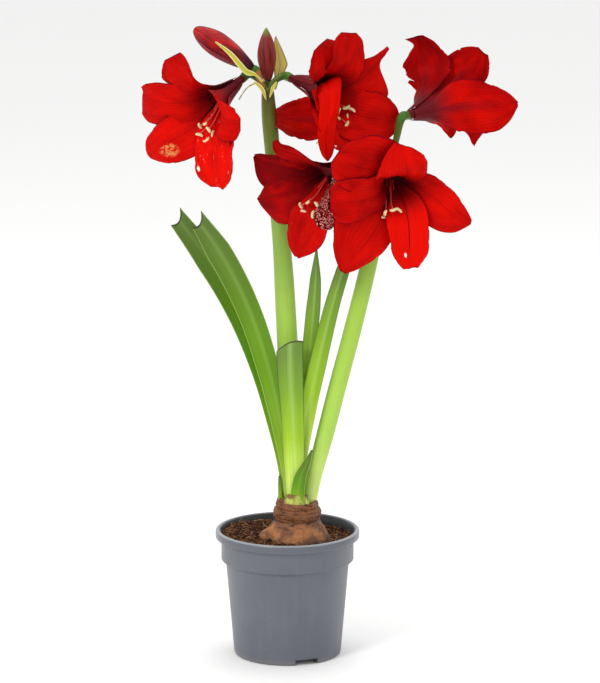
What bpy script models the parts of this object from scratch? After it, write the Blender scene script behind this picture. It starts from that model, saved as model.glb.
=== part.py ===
# An amaryllis in a round plastic pot: the pot, its soil, a bulb with six leaves, and two
# flowering stems that carry six open blooms and two buds.
# Metres, +Z up. The origin is the middle of the pot's base, and the front is -Y.

import math

import bmesh
import bpy
import numpy as np
from mathutils import Matrix, Vector, noise

MM = 0.001
FIT_GAP = 0.3 * MM

# Pot
RIM_RADIUS = 65 * MM
POT_HEIGHT = 115 * MM
LIP_HEIGHT = 7 * MM
LIP_WIDTH = 4.3 * MM
LIP_SHEET = 1.6 * MM
COLLAR_RADIUS = 59.8 * MM
COLLAR_BOTTOM = 87.5 * MM
BODY_TOP_RADIUS = 55.6 * MM
BASE_RADIUS = 48.5 * MM
WALL = 1.6 * MM
FLOOR = 7 * MM
CORNER = 2.5 * MM
POT_STEPS = 36
NOTCH_COUNT = 3
NOTCH_ANGLE = math.radians(21.5)
NOTCH_WIDTH = 22 * MM
NOTCH_HEIGHT = 5.4 * MM
NOTCH_DEPTH = 24 * MM
NOTCH_REACH = 40 * MM
DRAIN_RADIUS = 3 * MM
DRAIN_INSET = 10 * MM

# Soil
SOIL_TOP = 108 * MM
SOIL_SLOPE = 4 * MM
SOIL_LUMPS = 2.2 * MM
SOIL_STEPS = 24
SOIL_RINGS = 3

# Bulb
BULB_X = 8.5 * MM
BULB_FOOT = 42 * MM
BULB_FOOT_RADIUS = 13 * MM
BULB_WIDEST = 76 * MM
BULB_RADIUS = 40 * MM
NECK_START = 121 * MM
NECK_RADIUS = 21.3 * MM
NECK_TOP = 141 * MM
NECK_INNER_RADIUS = 19.6 * MM
NECK_FLOOR = 131 * MM
BULB_STEPS = 26

# Leaves: points along the middle of the blade, full width at each point, all in mm.
# channel lifts the edges, turn rotates the blade about its own length. At the tip, hollow
# pulls the middle back, round pulls both edges back and slant pulls only the left edge back.
LEAF_THICKNESS = 1.8 * MM
LEAF_STEPS = 11


def leaf(path, widths, channel, turn=0, hollow=0, rounding=0, slant=0, across=4):
    return dict(path=path, widths=widths, channel=channel, turn=turn, hollow=hollow,
                rounding=rounding, slant=slant, across=across)


LEAVES = {
    "leaf_back_left": leaf(
        path=((-1, -1, 131.5), (-2.5, 0, 170), (-11, 3, 214), (-24, 8, 262),
              (-44, 14, 312), (-70, 20, 357), (-102.5, 25, 400)),
        widths=(8, 12, 16, 19, 22, 24, 15), channel=3.0, hollow=5.5, slant=4,
    ),
    "leaf_front_left": leaf(
        path=((3, -4.2, 131.5), (0.5, -5, 170), (-6.5, -4.5, 214), (-17, -2, 262),
              (-33, 2, 312), (-55, 7, 357), (-84, 12, 400)),
        widths=(9, 11, 14.5, 18, 20.5, 22, 23, 22, 14), channel=3.0, hollow=5.5, slant=4,
    ),
    "leaf_cut_front": leaf(
        path=((7, -11.6, 131.5), (6.2, -13, 170), (5, -14, 214), (2.6, -15.5, 262), (2, -16, 294)),
        widths=(14, 16.5, 19.5, 22, 20.5), channel=2.4, rounding=2, slant=4,
    ),
    "leaf_pointed": leaf(
        path=((9, -1.5, 131.5), (12, -2, 180), (16, -2.5, 235), (20.5, -3, 290),
              (24.5, -3, 335), (26, -3, 371)),
        widths=(8, 11, 13, 13, 9, 1.6), channel=1.6,
    ),
    "leaf_right": leaf(
        path=((7, -8, 131.5), (10.5, -8.5, 175), (18, -9, 225), (28, -9.5, 275), (39, -9.5, 325),
              (51, -9, 364), (57, -8, 385)),
        widths=(9, 12, 15, 15.5, 13.5, 10.5, 4), channel=2.2,
    ),
    "leaf_curled": leaf(
        path=((8.5, -15.2, 131.5), (9.5, -16.2, 152), (12.5, -19, 168), (18.5, -22, 182), (22, -25, 193)),
        widths=(11.5, 13, 12, 8, 2.4), channel=1.2, turn=50, across=2,
    ),
    "leaf_stub": leaf(
        path=((-6, -5, 131.5), (-7.4, -5.5, 148), (-8.6, -5.5, 163)),
        widths=(4.4, 4.4, 2.4), channel=0.7, across=2,
    ),
}

# Flowering stems: route and diameter in mm, with each flower stalk from the stem's head
# to the seed case under its bloom or bud.
STEM_SMOOTH = 13
STALK_SMOOTH = 6
STEM_ROUNDNESS = 2
STALK_DIAMETERS = (6.5, 5.4, 5.6, 7.4, 9.6, 8.2)
SEED_CASE_LENGTH = 9.0
BUD_CASE_LENGTH = 5.0
STALK_GAP = 0.7


def stalk(to, *route):
    """A flower stalk's way from the head, before it turns into the line of its bloom or bud."""
    return dict(to=to, route=route)


SCAPES = {
    "scape_left": dict(
        route=((5.5, 8.2, 131.5), (4.5, 9.5, 180), (2.5, 11, 235), (-0.5, 12, 293), (-4, 13, 359),
               (-10, 14, 425), (-15, 15, 478), (-17, 15, 506), (-17, 15, 514)),
        diameters=(13, 17.5, 19, 18.8, 18, 15.5, 13.6, 14, 10),
        stalks=(
            stalk("bloom_left_1", (-17, 15, 508), (-23.5, 14.6, 519)),
            stalk("bloom_left_2", (-17, 15, 508), (-12.5, 15.4, 518)),
            stalk("bud_left_1", (-17, 15, 508), (-23, 13.6, 518)),
            stalk("bud_left_2", (-17, 15, 508)),
        ),
    ),
    "scape_right": dict(
        route=((19, 1.8, 133), (24.5, 2.4, 165), (32.5, 2.5, 197), (43, 1.5, 241), (57, 0.5, 296),
               (70, 0, 350), (83, 0, 410), (90, 0, 446), (91, 0, 456)),
        diameters=(12, 14.5, 16.6, 17, 16.6, 15.8, 14.6, 14, 10),
        stalks=(
            stalk("bloom_right_1", (91, 0, 450), (82, -0.5, 459), (72, -4, 460)),
            stalk("bloom_right_2", (91, 0, 450), (88.5, -4, 459)),
            stalk("bloom_right_3", (91, 0, 450), (94.5, -3, 462), (97, -6, 474)),
            stalk("bloom_right_4", (91, 0, 450), (95, 12, 462), (98, 23, 473)),
        ),
    ),
}

# Blooms. base is the top of the seed case in mm, facing turns the mouth from the front
# towards +X, dip tips it down. Each tepal gives, in degrees and mm: the place of its root
# and of its tip round the mouth, clockwise from the top as seen from in front; the tip's
# distance from the bloom's own line and its height along it; how far it arches past its
# tip; its width; the height of its edges; its twist; and its ripple.
TEPAL_THICKNESS = 1.0 * MM
TEPAL_STEPS = 6
TEPAL_ACROSS = 4
WHORL_STEP = 1.1 * MM
CORE_HEIGHT = 14 * MM
TUBE_SHARE = 0.60
BLUNT_END = 2.0
POINTED_END = 0.06
ROOT_RADIUS = 3.8
ROOT_HEIGHT = 9.0
TUBE_RADIUS = 9.0
TUBE_HEIGHT = 42.0
# Where along a tepal, from 0 at its root to 1 at its tip, it is widest, leaves the tube,
# turns from its root's place to its tip's, and starts to ripple.
WIDEST_AT = 0.64
OPENING = (0.22, 0.62)
TURNING = (0.3, 0.95)
RIPPLING = (0.4, 0.8)
RIPPLES = 1.6
RIPPLE_LAG = 1.9
ROW_CROWDING = 0.11
CORE_BASE_RADIUS = 4.2 * MM
CORE_TOP_RADIUS = 6.6 * MM
STAMEN_COUNT = 6
FILAMENT_RADIUS = 0.7 * MM
ANTHER_LENGTH = 7 * MM
ANTHER_RADIUS = 1.5 * MM
# Courses from the foot of the tube to the mouth: share of the height, share of the droop
# and, for stamens, the distance in mm from their common line.
STAMEN_COURSE = ((0.14, 0.0, 1.6), (0.5, 0.2, 3.4), (0.82, 0.75, 5.0), (1.0, 0.88, 7.0))
STYLE_COURSE = ((0.13, 0.0), (0.48, 0.15), (0.85, 0.7), (1.0, 1.0))


def tepal(root, tip, reach, height, arch, width, cup=2, twist=0, ripple=1.5, blunt=0.5):
    return dict(root=root, tip=tip, reach=reach, height=height, arch=arch, width=width,
                cup=cup, twist=twist, ripple=ripple, blunt=blunt)


BLOOMS = {
    "bloom_left_1": dict(
        base=(-39.1, 15, 522.1), facing=-32, dip=19, stamens=(190, 24, 66), style=(194, 54, 72),
        tepals=(
            tepal(318, 329, 58, 64, 12, 27, blunt=0.32),
            tepal(275, 276, 66, 62, 14, 43, blunt=0.28),
            tepal(215, 235, 80, 74, 8, 44, blunt=0.4),
            tepal(170, 179, 73, 74, 8, 42, blunt=0.32),
            tepal(120, 158, 58, 72, 10, 30),
            tepal(60, 102, 38, 68, 16, 40),
        ),
    ),
    "bloom_left_2": dict(
        base=(2.5, 15, 522.1), facing=38, dip=6, stamens=(150, 26, 66), style=(160, 40, 76),
        tepals=(
            tepal(330, 334, 44, 56, 28, 42, blunt=0.35),
            tepal(30, 8, 54, 66, 14, 38, blunt=0.3),
            tepal(90, 62, 66, 66, 14, 32),
            tepal(150, 117, 75, 71, 8, 48),
            tepal(210, 158, 60, 68, 8, 34),
            tepal(270, 189, 60, 68, 8, 34),
        ),
    ),
    "bloom_right_1": dict(
        base=(55.4, -10, 450.8), facing=-35, dip=10, stamens=(190, 28, 62), style=(205, 46, 66),
        tepals=(
            tepal(335, 314, 48, 66, 8, 20, blunt=0.4),
            tepal(300, 290, 60, 62, 10, 32),
            tepal(240, 250, 60, 66, 10, 44, blunt=0.4),
            tepal(180, 193, 71, 66, 8, 42, blunt=0.42),
            tepal(120, 142, 40, 66, 16, 38, blunt=0.4),
            tepal(50, 10, 24, 62, 10, 32),
        ),
    ),
    "bloom_right_2": dict(
        base=(84.2, -25, 450.5), facing=14, dip=14, stamens=(192, 24, 58), style=(172, 58, 64),
        tepals=(
            tepal(325, 298, 70, 64, 18, 54, blunt=0.36),
            tepal(20, 355, 48, 70, 20, 38, blunt=0.32),
            tepal(90, 118, 73, 64, 10, 42, blunt=0.45),
            tepal(155, 169, 71, 68, 8, 36, blunt=0.3),
            tepal(205, 217, 87, 66, 8, 54, blunt=0.45),
            tepal(260, 265, 64, 64, 14, 52, blunt=0.35),
        ),
    ),
    "bloom_right_3": dict(
        base=(104.8, 0, 490.3), facing=152, dip=-1, stamens=(185, 20, 68), style=(180, 26, 84),
        tepals=(
            tepal(30, 16, 66, 58, 20, 42, blunt=0.3),
            tepal(330, 319, 70, 64, 14, 42, blunt=0.35),
            tepal(275, 274, 78, 64, 6, 46),
            tepal(215, 207, 40, 82, 8, 21),
            tepal(160, 178, 27, 84, 8, 24),
            tepal(90, 60, 34, 72, 14, 32),
        ),
    ),
    "bloom_right_4": dict(
        base=(89.2, 30.5, 478.4), facing=-118, dip=0, stamens=(185, 16, 60), style=(180, 20, 68),
        tepals=(
            tepal(20, 20, 34, 70, 10, 32),
            tepal(80, 82, 78, 70, 12, 40, blunt=0.8),
            tepal(140, 150, 26, 76, 6, 32),
            tepal(200, 205, 26, 76, 6, 32),
            tepal(260, 260, 38, 74, 8, 34),
            tepal(320, 320, 36, 72, 8, 32),
        ),
    ),
}

# Buds: base and tip in mm, greatest diameter and where it lies along the bud.
BUDS = {
    "bud_left_1": dict(base=(-31.4, 15, 531.5), tip=(-80.5, 11, 566), diameter=22, widest=0.52),
    "bud_left_2": dict(base=(-17.4, 21.8, 518.4), tip=(-18.7, 21, 566), diameter=17.5, widest=0.45),
}
BUD_STEPS = 12
BUD_RINGS = 9

# Papery bracts left from the sheath that wrapped the young flower head.
BRACT_THICKNESS = 1.0 * MM
BRACT_STEPS = 6
BRACTS = {
    "bract_left_1": leaf(
        path=((-20.5, 8, 505), (-27.5, 5.3, 523), (-40, 2.3, 536), (-52, 1.3, 546.5), (-63, 1.3, 557)),
        widths=(4, 7, 7.5, 4.5, 1.4), channel=0.8, across=2,
    ),
    "bract_left_2": leaf(
        path=((-11.3, 25, 511), (-8.3, 29.6, 522), (-7.8, 30.8, 537), (-10.3, 31, 556)),
        widths=(5, 14, 10, 1.4), channel=1.0, across=2,
    ),
    "bract_right_1": leaf(
        path=((94.5, 5.7, 448), (101, 11, 441), (108, 12, 429), (112, 11, 414)),
        widths=(5, 8, 6, 1.4), channel=0.8, across=2,
    ),
}

# Colours
PETAL_RED = (0.62, 0.006, 0.006)
BUD_RED = (0.22, 0.008, 0.016)
LEAF_GREEN = (0.10, 0.22, 0.03)
SCAPE_GREEN = (0.26, 0.38, 0.08)
BRACT_YELLOW = (0.55, 0.52, 0.08)
BULB_BROWN = (0.22, 0.10, 0.05)
SOIL_BROWN = (0.05, 0.018, 0.008)
POT_GREY = (0.16, 0.18, 0.21)

COLLECTION_NAME = "amaryllis_in_pot"


def clear_scene():
    for thing in list(bpy.data.objects):
        bpy.data.objects.remove(thing, do_unlink=True)


def new_collection(name):
    collection = bpy.data.collections.new(name)
    bpy.context.scene.collection.children.link(collection)
    return collection


def material(name, colour, roughness):
    made = bpy.data.materials.new(name)
    made.use_nodes = True
    shader = made.node_tree.nodes["Principled BSDF"]
    shader.inputs["Base Color"].default_value = (*colour, 1.0)
    shader.inputs["Roughness"].default_value = roughness
    shader.inputs["Metallic"].default_value = 0.0
    return made


def add_object(name, mesh, collection, surface=None, smooth=True):
    made = bpy.data.objects.new(name, mesh)
    collection.objects.link(made)
    if surface:
        mesh.materials.append(surface)
    if smooth:
        mesh.shade_smooth()
        mesh.set_sharp_from_angle(angle=math.radians(50))
    return made


def evaluated_mesh(thing):
    bpy.context.view_layer.update()
    graph = bpy.context.evaluated_depsgraph_get()
    return bpy.data.meshes.new_from_object(thing.evaluated_get(graph), depsgraph=graph)


def smooth_step(low, high, value):
    share = np.clip((value - low) / (high - low), 0.0, 1.0)
    return share * share * (3.0 - 2.0 * share)


def smooth_route(points, count):
    """Evenly shared points on a smooth curve through the given ones."""
    points = np.array(points, float)
    span = np.linalg.norm(np.diff(points, axis=0), axis=1) ** 0.5
    knots = np.concatenate([[0.0], np.cumsum(span)])
    slopes = np.gradient(points, knots, axis=0)
    places = np.linspace(0.0, knots[-1], count)
    found = []
    for place in places:
        index = min(int(np.searchsorted(knots, place, side="right")) - 1, len(points) - 2)
        width = knots[index + 1] - knots[index]
        t = (place - knots[index]) / width
        found.append(
            (2 * t**3 - 3 * t**2 + 1) * points[index]
            + (t**3 - 2 * t**2 + t) * width * slopes[index]
            + (3 * t**2 - 2 * t**3) * points[index + 1]
            + (t**3 - t**2) * width * slopes[index + 1]
        )
    return np.array(found)


def turned_mesh(name, profile, steps, collection):
    """A solid turned about Z from a profile of (radius, height) points."""
    mesh = bpy.data.meshes.new(name + "_profile")
    points = [(radius, 0.0, height) for radius, height in profile]
    mesh.from_pydata(points, [(i, i + 1) for i in range(len(points) - 1)], [])
    thing = bpy.data.objects.new(name + "_profile", mesh)
    collection.objects.link(thing)
    screw = thing.modifiers.new("Screw", "SCREW")
    screw.axis = "Z"
    screw.angle = 2 * math.pi
    screw.steps = screw.render_steps = steps
    screw.use_merge_vertices = True
    screw.merge_threshold = 0.00001
    turned = evaluated_mesh(thing)
    turned.name = name
    bpy.data.objects.remove(thing, do_unlink=True)
    return turned


def boolean(thing, operation, cutter=None, group=None, solver="EXACT"):
    """Adds a Boolean and applies it, so that its cutters can be removed."""
    modifier = thing.modifiers.new("Boolean", "BOOLEAN")
    modifier.operation = operation
    modifier.solver = solver
    if group:
        modifier.operand_type = "COLLECTION"
        modifier.collection = group
    else:
        modifier.object = cutter
    mesh = evaluated_mesh(thing)
    thing.modifiers.clear()
    old = thing.data
    thing.data = mesh
    mesh.name = old.name
    bpy.data.meshes.remove(old)


def fuse(name, meshes, collection, surface):
    """One solid from meshes that overlap, by a single union."""
    thing = add_object(name, meshes[0], collection, surface, smooth=False)
    group = new_collection(name + "_pieces")
    for index, mesh in enumerate(meshes[1:]):
        piece = bpy.data.objects.new(f"{name}_piece_{index}", mesh)
        group.objects.link(piece)
    boolean(thing, "UNION", group=group, solver="MANIFOLD")
    for piece in list(group.objects):
        bpy.data.objects.remove(piece, do_unlink=True)
    bpy.data.collections.remove(group)
    thing.data.materials.clear()
    thing.data.materials.append(surface)
    thing.data.polygons.foreach_set("material_index", [0] * len(thing.data.polygons))
    thing.data.shade_smooth()
    thing.data.set_sharp_from_angle(angle=math.radians(50))
    return thing


def tube_mesh(name, points, radii, roundness):
    """A tube through the points, made as a bevelled curve with filled ends."""
    curve = bpy.data.curves.new(name, "CURVE")
    curve.dimensions = "3D"
    curve.bevel_depth = 1.0
    curve.bevel_resolution = roundness
    curve.use_fill_caps = True
    spline = curve.splines.new("POLY")
    spline.points.add(len(points) - 1)
    for point, place, radius in zip(spline.points, points, radii):
        point.co = (*place, 1.0)
        point.radius = radius
    thing = bpy.data.objects.new(name, curve)
    bpy.context.scene.collection.objects.link(thing)
    mesh = evaluated_mesh(thing)
    bpy.data.objects.remove(thing, do_unlink=True)
    weld(mesh)
    return mesh


def weld(mesh):
    shape = bmesh.new()
    shape.from_mesh(mesh)
    bmesh.ops.remove_doubles(shape, verts=shape.verts, dist=0.000001)
    bmesh.ops.recalc_face_normals(shape, faces=shape.faces)
    shape.to_mesh(mesh)
    shape.free()


def blade_mesh(name, grid, thickness, collection):
    """A closed thin blade round a grid of points, split into the same triangles on both faces."""
    rows, columns = len(grid), len(grid[0])
    shape = bmesh.new()
    bmesh.ops.create_grid(shape, x_segments=columns - 1, y_segments=rows - 1, size=0.5)
    shape.verts.ensure_lookup_table()
    for vertex in shape.verts:
        column = round((vertex.co.x + 0.5) * (columns - 1))
        row = round((vertex.co.y + 0.5) * (rows - 1))
        vertex.co = Vector(grid[row][column])
    bmesh.ops.triangulate(shape, faces=shape.faces)
    mesh = bpy.data.meshes.new(name)
    shape.to_mesh(mesh)
    shape.free()
    thing = bpy.data.objects.new(name, mesh)
    collection.objects.link(thing)
    solidify = thing.modifiers.new("Solidify", "SOLIDIFY")
    solidify.thickness = thickness
    solidify.offset = 0.0
    solidify.use_even_offset = False
    solid = evaluated_mesh(thing)
    solid.name = name
    bpy.data.objects.remove(thing, do_unlink=True)
    return solid


def along_z(direction):
    """The rotation that brings Z onto a direction."""
    return direction.to_track_quat("Z", "Y").to_matrix().to_4x4()


def bloom_frame(facing, dip):
    """The bloom's own line and its up and side directions, seen from in front."""
    turn, tip = math.radians(facing), math.radians(dip)
    line = np.array([math.sin(turn) * math.cos(tip), -math.cos(turn) * math.cos(tip), -math.sin(tip)])
    up = np.array([0.0, 0.0, 1.0]) - line * line[2]
    up /= np.linalg.norm(up)
    return line, up, np.cross(up, line)


def round_mouth(up, side, degrees):
    angle = np.radians(degrees)
    return np.cos(angle) * up + np.sin(angle) * side


def tepal_grid(bloom, blade, whorl, steps, across):
    """Points of one tepal: rows from root to tip, columns from edge to edge."""
    line, up, side = bloom_frame(bloom["facing"], bloom["dip"])
    base = np.array(bloom["base"], float)
    turn = (blade["tip"] - blade["root"] + 180) % 360 - 180
    mouth_radius = max(0.28 * blade["reach"], 15.0)
    radial_ends = (ROOT_RADIUS, TUBE_RADIUS, mouth_radius, blade["reach"])
    height_ends = (ROOT_HEIGHT, TUBE_HEIGHT, blade["height"] + blade["arch"], blade["height"])

    def middle(place):
        weights = ((1 - place) ** 3, 3 * place * (1 - place) ** 2, 3 * place**2 * (1 - place), place**3)
        radius = sum(w * r for w, r in zip(weights, radial_ends))
        height = sum(w * h for w, h in zip(weights, height_ends))
        outward = round_mouth(up, side, blade["root"] + turn * smooth_step(*TURNING, place))
        return base + line * height + outward * radius, radius, outward

    rows = []
    power = blade["blunt"] * WIDEST_AT / (1 - WIDEST_AT)
    for share in np.linspace(0.0, 1.0, steps + 1):
        place = share + ROW_CROWDING * math.sin(math.pi * share)
        point, radius, outward = middle(place)
        before = middle(max(place - 0.01, 0.0))[0]
        after = middle(min(place + 0.01, 1.0))[0]
        along = (after - before) / np.linalg.norm(after - before)
        sideways = np.cross(outward, line)
        sideways -= along * np.dot(sideways, along)
        sideways /= np.linalg.norm(sideways)
        inward = np.cross(sideways, along)
        open_share = smooth_step(*OPENING, place)
        leaf_shape = (place / WIDEST_AT) ** power * ((1 - place) / (1 - WIDEST_AT)) ** blade["blunt"]
        tube_radius = radius - whorl * WHORL_STEP / MM
        end_share = max(BLUNT_END * (0.5 - blade["blunt"]), POINTED_END)
        open_width = blade["width"] / 2 * max(leaf_shape, end_share)
        half_width = (1 - open_share) * TUBE_SHARE * tube_radius + open_share * open_width
        lift = blade["cup"] if whorl > 0 else -0.4 * blade["cup"]
        flat_bend = 2 * lift / (blade["width"] / 2) ** 2
        bend = (1 - open_share) / tube_radius + open_share * flat_bend
        twist = math.radians(blade["twist"]) * place**2
        row = []
        for edge in np.linspace(-1.0, 1.0, across + 1):
            reach = edge * half_width
            x = math.sin(bend * reach) / bend
            z = (1 - math.cos(bend * reach)) / bend
            wave = math.sin(2 * math.pi * RIPPLES * place + blade["root"] + (RIPPLE_LAG if edge > 0 else 0.0))
            z += blade["ripple"] * wave * edge**2 * smooth_step(*RIPPLING, place)
            z += (WHORL_STEP / MM) * whorl
            turned_x = x * math.cos(twist) - z * math.sin(twist)
            turned_z = x * math.sin(twist) + z * math.cos(twist)
            row.append((point + sideways * turned_x + inward * turned_z) * MM)
        rows.append(row)
    return rows


def core_mesh(name, bloom):
    """The solid foot of the flower tube, which every tepal grows from."""
    line, _, _ = bloom_frame(bloom["facing"], bloom["dip"])
    shape = bmesh.new()
    bmesh.ops.create_cone(
        shape, cap_ends=True, segments=12, radius1=CORE_BASE_RADIUS, radius2=CORE_TOP_RADIUS, depth=CORE_HEIGHT
    )
    mesh = bpy.data.meshes.new(name)
    shape.to_mesh(mesh)
    shape.free()
    middle = Vector(bloom["base"]) * MM + Vector(line) * CORE_HEIGHT / 2
    mesh.transform(Matrix.Translation(middle) @ along_z(Vector(line)))
    return mesh


def stamen_meshes(name, bloom):
    """Six drooping stamens and the longer style, from the foot of the tube to the mouth."""
    line, up, side = bloom_frame(bloom["facing"], bloom["dip"])
    base = np.array(bloom["base"], float)
    meshes = []
    angle, reach, height = bloom["stamens"]
    for index in range(STAMEN_COUNT):
        around = 360 * index / STAMEN_COUNT
        droop = round_mouth(up, side, angle)
        spread = round_mouth(up, side, around)
        ends = [
            base + line * height * up_share + droop * reach * droop_share + spread * apart
            for up_share, droop_share, apart in STAMEN_COURSE
        ]
        points = smooth_route(ends, 4) * MM
        meshes.append(tube_mesh(f"{name}_filament", points, [FILAMENT_RADIUS] * 4, 0))
        anther = bmesh.new()
        bmesh.ops.create_uvsphere(anther, u_segments=4, v_segments=2, radius=1.0)
        mesh = bpy.data.meshes.new(f"{name}_anther")
        anther.to_mesh(mesh)
        anther.free()
        lie = Vector(round_mouth(up, side, around + 60) + 0.5 * line)
        place = Matrix.Translation(Vector(points[-1])) @ along_z(lie)
        mesh.transform(place @ Matrix.Diagonal((ANTHER_RADIUS, ANTHER_RADIUS, ANTHER_LENGTH / 2, 1.0)))
        meshes.append(mesh)
    angle, reach, height = bloom["style"]
    droop = round_mouth(up, side, angle)
    ends = [base + line * height * up_share + droop * reach * droop_share for up_share, droop_share in STYLE_COURSE]
    points = smooth_route(ends, 5) * MM
    meshes.append(tube_mesh(f"{name}_style", points, [FILAMENT_RADIUS] * 4 + [FILAMENT_RADIUS * 2], 0))
    return meshes


def build_bloom(name, bloom, collection, surface):
    meshes = [core_mesh(name + "_core", bloom)]
    for index, blade in enumerate(bloom["tepals"]):
        whorl = 1 if index % 2 else -1
        grid = tepal_grid(bloom, blade, whorl, TEPAL_STEPS, TEPAL_ACROSS)
        meshes.append(blade_mesh(f"{name}_tepal_{index}", grid, TEPAL_THICKNESS, collection))
    meshes.extend(stamen_meshes(name, bloom))
    fuse(name, meshes, collection, surface)


def leaf_grid(blade, steps):
    """Points of a strap-shaped blade that follows its path, with raised edges."""
    path = smooth_route(blade["path"], 4 * steps + 1)
    length = np.linalg.norm(np.diff(path, axis=0), axis=1).sum()
    knots = np.linspace(0.0, 1.0, len(blade["widths"]))
    route_places = np.linspace(0.0, 1.0, len(path))
    tangents = np.gradient(path, axis=0)
    rows = []
    for place in np.linspace(0.0, 1.0, steps + 1):
        width = np.interp(place, knots, blade["widths"])
        row = []
        for edge in np.linspace(-1.0, 1.0, blade["across"] + 1):
            drawn = blade["hollow"] * (1 - edge**2) + blade["rounding"] * edge**2 + blade["slant"] * (1 - edge)
            pulled = place - drawn / length * place**8
            point = np.array([np.interp(pulled, route_places, path[:, k]) for k in range(3)])
            along = np.array([np.interp(pulled, route_places, tangents[:, k]) for k in range(3)])
            along /= np.linalg.norm(along)
            sideways = np.cross(along, (0.0, -1.0, 0.0))
            sideways /= np.linalg.norm(sideways)
            face = np.cross(sideways, along)
            turn = math.radians(blade["turn"]) * place
            across_way = sideways * math.cos(turn) + face * math.sin(turn)
            face_way = face * math.cos(turn) - sideways * math.sin(turn)
            rise = blade["channel"] * edge**2 * (width / max(blade["widths"]))
            row.append((point + across_way * edge * width / 2 + face_way * rise) * MM)
        rows.append(row)
    return rows


def build_blade(name, blade, thickness, steps, collection, surface):
    grid = leaf_grid(blade, steps)
    add_object(name, blade_mesh(name, grid, thickness, collection), collection, surface)


def flower_foot(name):
    """Where a bloom or bud meets its seed case, the way it points and the case's length."""
    if name in BLOOMS:
        bloom = BLOOMS[name]
        return np.array(bloom["base"], float), bloom_frame(bloom["facing"], bloom["dip"])[0], SEED_CASE_LENGTH
    foot, tip = np.array(BUDS[name]["base"], float), np.array(BUDS[name]["tip"], float)
    return foot, (tip - foot) / np.linalg.norm(tip - foot), BUD_CASE_LENGTH


def build_scape(name, scape, collection, surface):
    def stretched(values, count):
        return np.interp(np.linspace(0, 1, count), np.linspace(0, 1, len(values)), values)

    points = smooth_route(scape["route"], STEM_SMOOTH) * MM
    radii = stretched(scape["diameters"], STEM_SMOOTH) / 2 * MM
    meshes = [tube_mesh(name, points, radii, STEM_ROUNDNESS)]
    for branch in scape["stalks"]:
        foot, line, case = flower_foot(branch["to"])
        ends = (foot - line * case, foot - line * STALK_GAP)
        points = smooth_route((*branch["route"], *ends), STALK_SMOOTH) * MM
        radii = stretched(STALK_DIAMETERS, STALK_SMOOTH) / 2 * MM
        meshes.append(tube_mesh(f"{name}_stalk_{branch['to']}", points, radii, 2))
    fuse(name, meshes, collection, surface)


def build_bud(name, bud, collection, surface):
    base, tip = Vector(bud["base"]) * MM, Vector(bud["tip"]) * MM
    length = (tip - base).length
    widest = bud["widest"]
    profile = [(0.0, length)]
    for place in np.linspace(1.0, 0.0, BUD_RINGS)[1:-1]:
        if place > widest:
            share = math.cos((place - widest) / (1 - widest) * math.pi / 2) ** 0.75
        else:
            share = 0.34 + 0.66 * math.sin(place / widest * math.pi / 2)
        profile.append((bud["diameter"] / 2 * MM * share, place * length))
    profile.append((bud["diameter"] / 2 * MM * 0.34, 0.0))
    profile.append((0.0, 0.0))
    mesh = turned_mesh(name, profile, BUD_STEPS, collection)
    mesh.transform(Matrix.Translation(base) @ along_z(tip - base))
    add_object(name, mesh, collection, surface)


def pot_inner_radius(height):
    """Radius of the pot's inner wall at a height above the base."""
    if height > COLLAR_BOTTOM:
        return COLLAR_RADIUS - WALL
    share = height / COLLAR_BOTTOM
    return BASE_RADIUS + (BODY_TOP_RADIUS - BASE_RADIUS) * share - WALL


def build_pot(collection, cutters, surface):
    rim_inner = RIM_RADIUS - LIP_WIDTH
    lip_bottom = POT_HEIGHT - LIP_HEIGHT
    profile = [
        (0.0, FLOOR),
        (pot_inner_radius(FLOOR), FLOOR),
        (BODY_TOP_RADIUS - WALL, COLLAR_BOTTOM - 1 * MM),
        (COLLAR_RADIUS - WALL, COLLAR_BOTTOM + 2.5 * MM),
        (COLLAR_RADIUS - WALL, lip_bottom),
        (rim_inner, POT_HEIGHT - 0.6 * MM),
        (rim_inner + 0.6 * MM, POT_HEIGHT),
        (RIM_RADIUS - 0.8 * MM, POT_HEIGHT),
        (RIM_RADIUS, POT_HEIGHT - 0.8 * MM),
        (RIM_RADIUS, lip_bottom),
        (RIM_RADIUS - LIP_SHEET, lip_bottom),
        (RIM_RADIUS - LIP_SHEET, POT_HEIGHT - LIP_SHEET),
        (rim_inner + LIP_SHEET, POT_HEIGHT - LIP_SHEET),
        (COLLAR_RADIUS, lip_bottom),
        (COLLAR_RADIUS, COLLAR_BOTTOM),
        (BODY_TOP_RADIUS, COLLAR_BOTTOM - 2 * MM),
        (BASE_RADIUS, CORNER),
        (BASE_RADIUS - CORNER, 0.0),
        (0.0, 0.0),
    ]
    pot = add_object("pot", turned_mesh("pot", profile, POT_STEPS, collection), collection, surface)
    for index in range(NOTCH_COUNT):
        angle = -math.pi / 2 + NOTCH_ANGLE + 2 * math.pi * index / NOTCH_COUNT
        out = Vector((math.cos(angle), math.sin(angle), 0.0))
        bpy.ops.mesh.primitive_cube_add(size=1.0, location=out * (BASE_RADIUS - NOTCH_DEPTH + NOTCH_REACH / 2))
        notch = bpy.context.object
        notch.name = f"pot_notch_cutter_{index}"
        notch.rotation_euler = (0.0, 0.0, angle)
        notch.scale = (NOTCH_REACH, NOTCH_WIDTH, 2 * NOTCH_HEIGHT)
        bpy.ops.mesh.primitive_cylinder_add(
            vertices=12, radius=DRAIN_RADIUS, depth=4 * FLOOR, location=out * (BASE_RADIUS - DRAIN_INSET)
        )
        drain = bpy.context.object
        drain.name = f"pot_drain_cutter_{index}"
        for cutter in (notch, drain):
            for holder in list(cutter.users_collection):
                holder.objects.unlink(cutter)
            cutters.objects.link(cutter)
            cutter.hide_render = True
            cutter.display_type = "WIRE"
            modifier = pot.modifiers.new(cutter.name, "BOOLEAN")
            modifier.operation = "DIFFERENCE"
            modifier.solver = "EXACT"
            modifier.object = cutter


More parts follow.
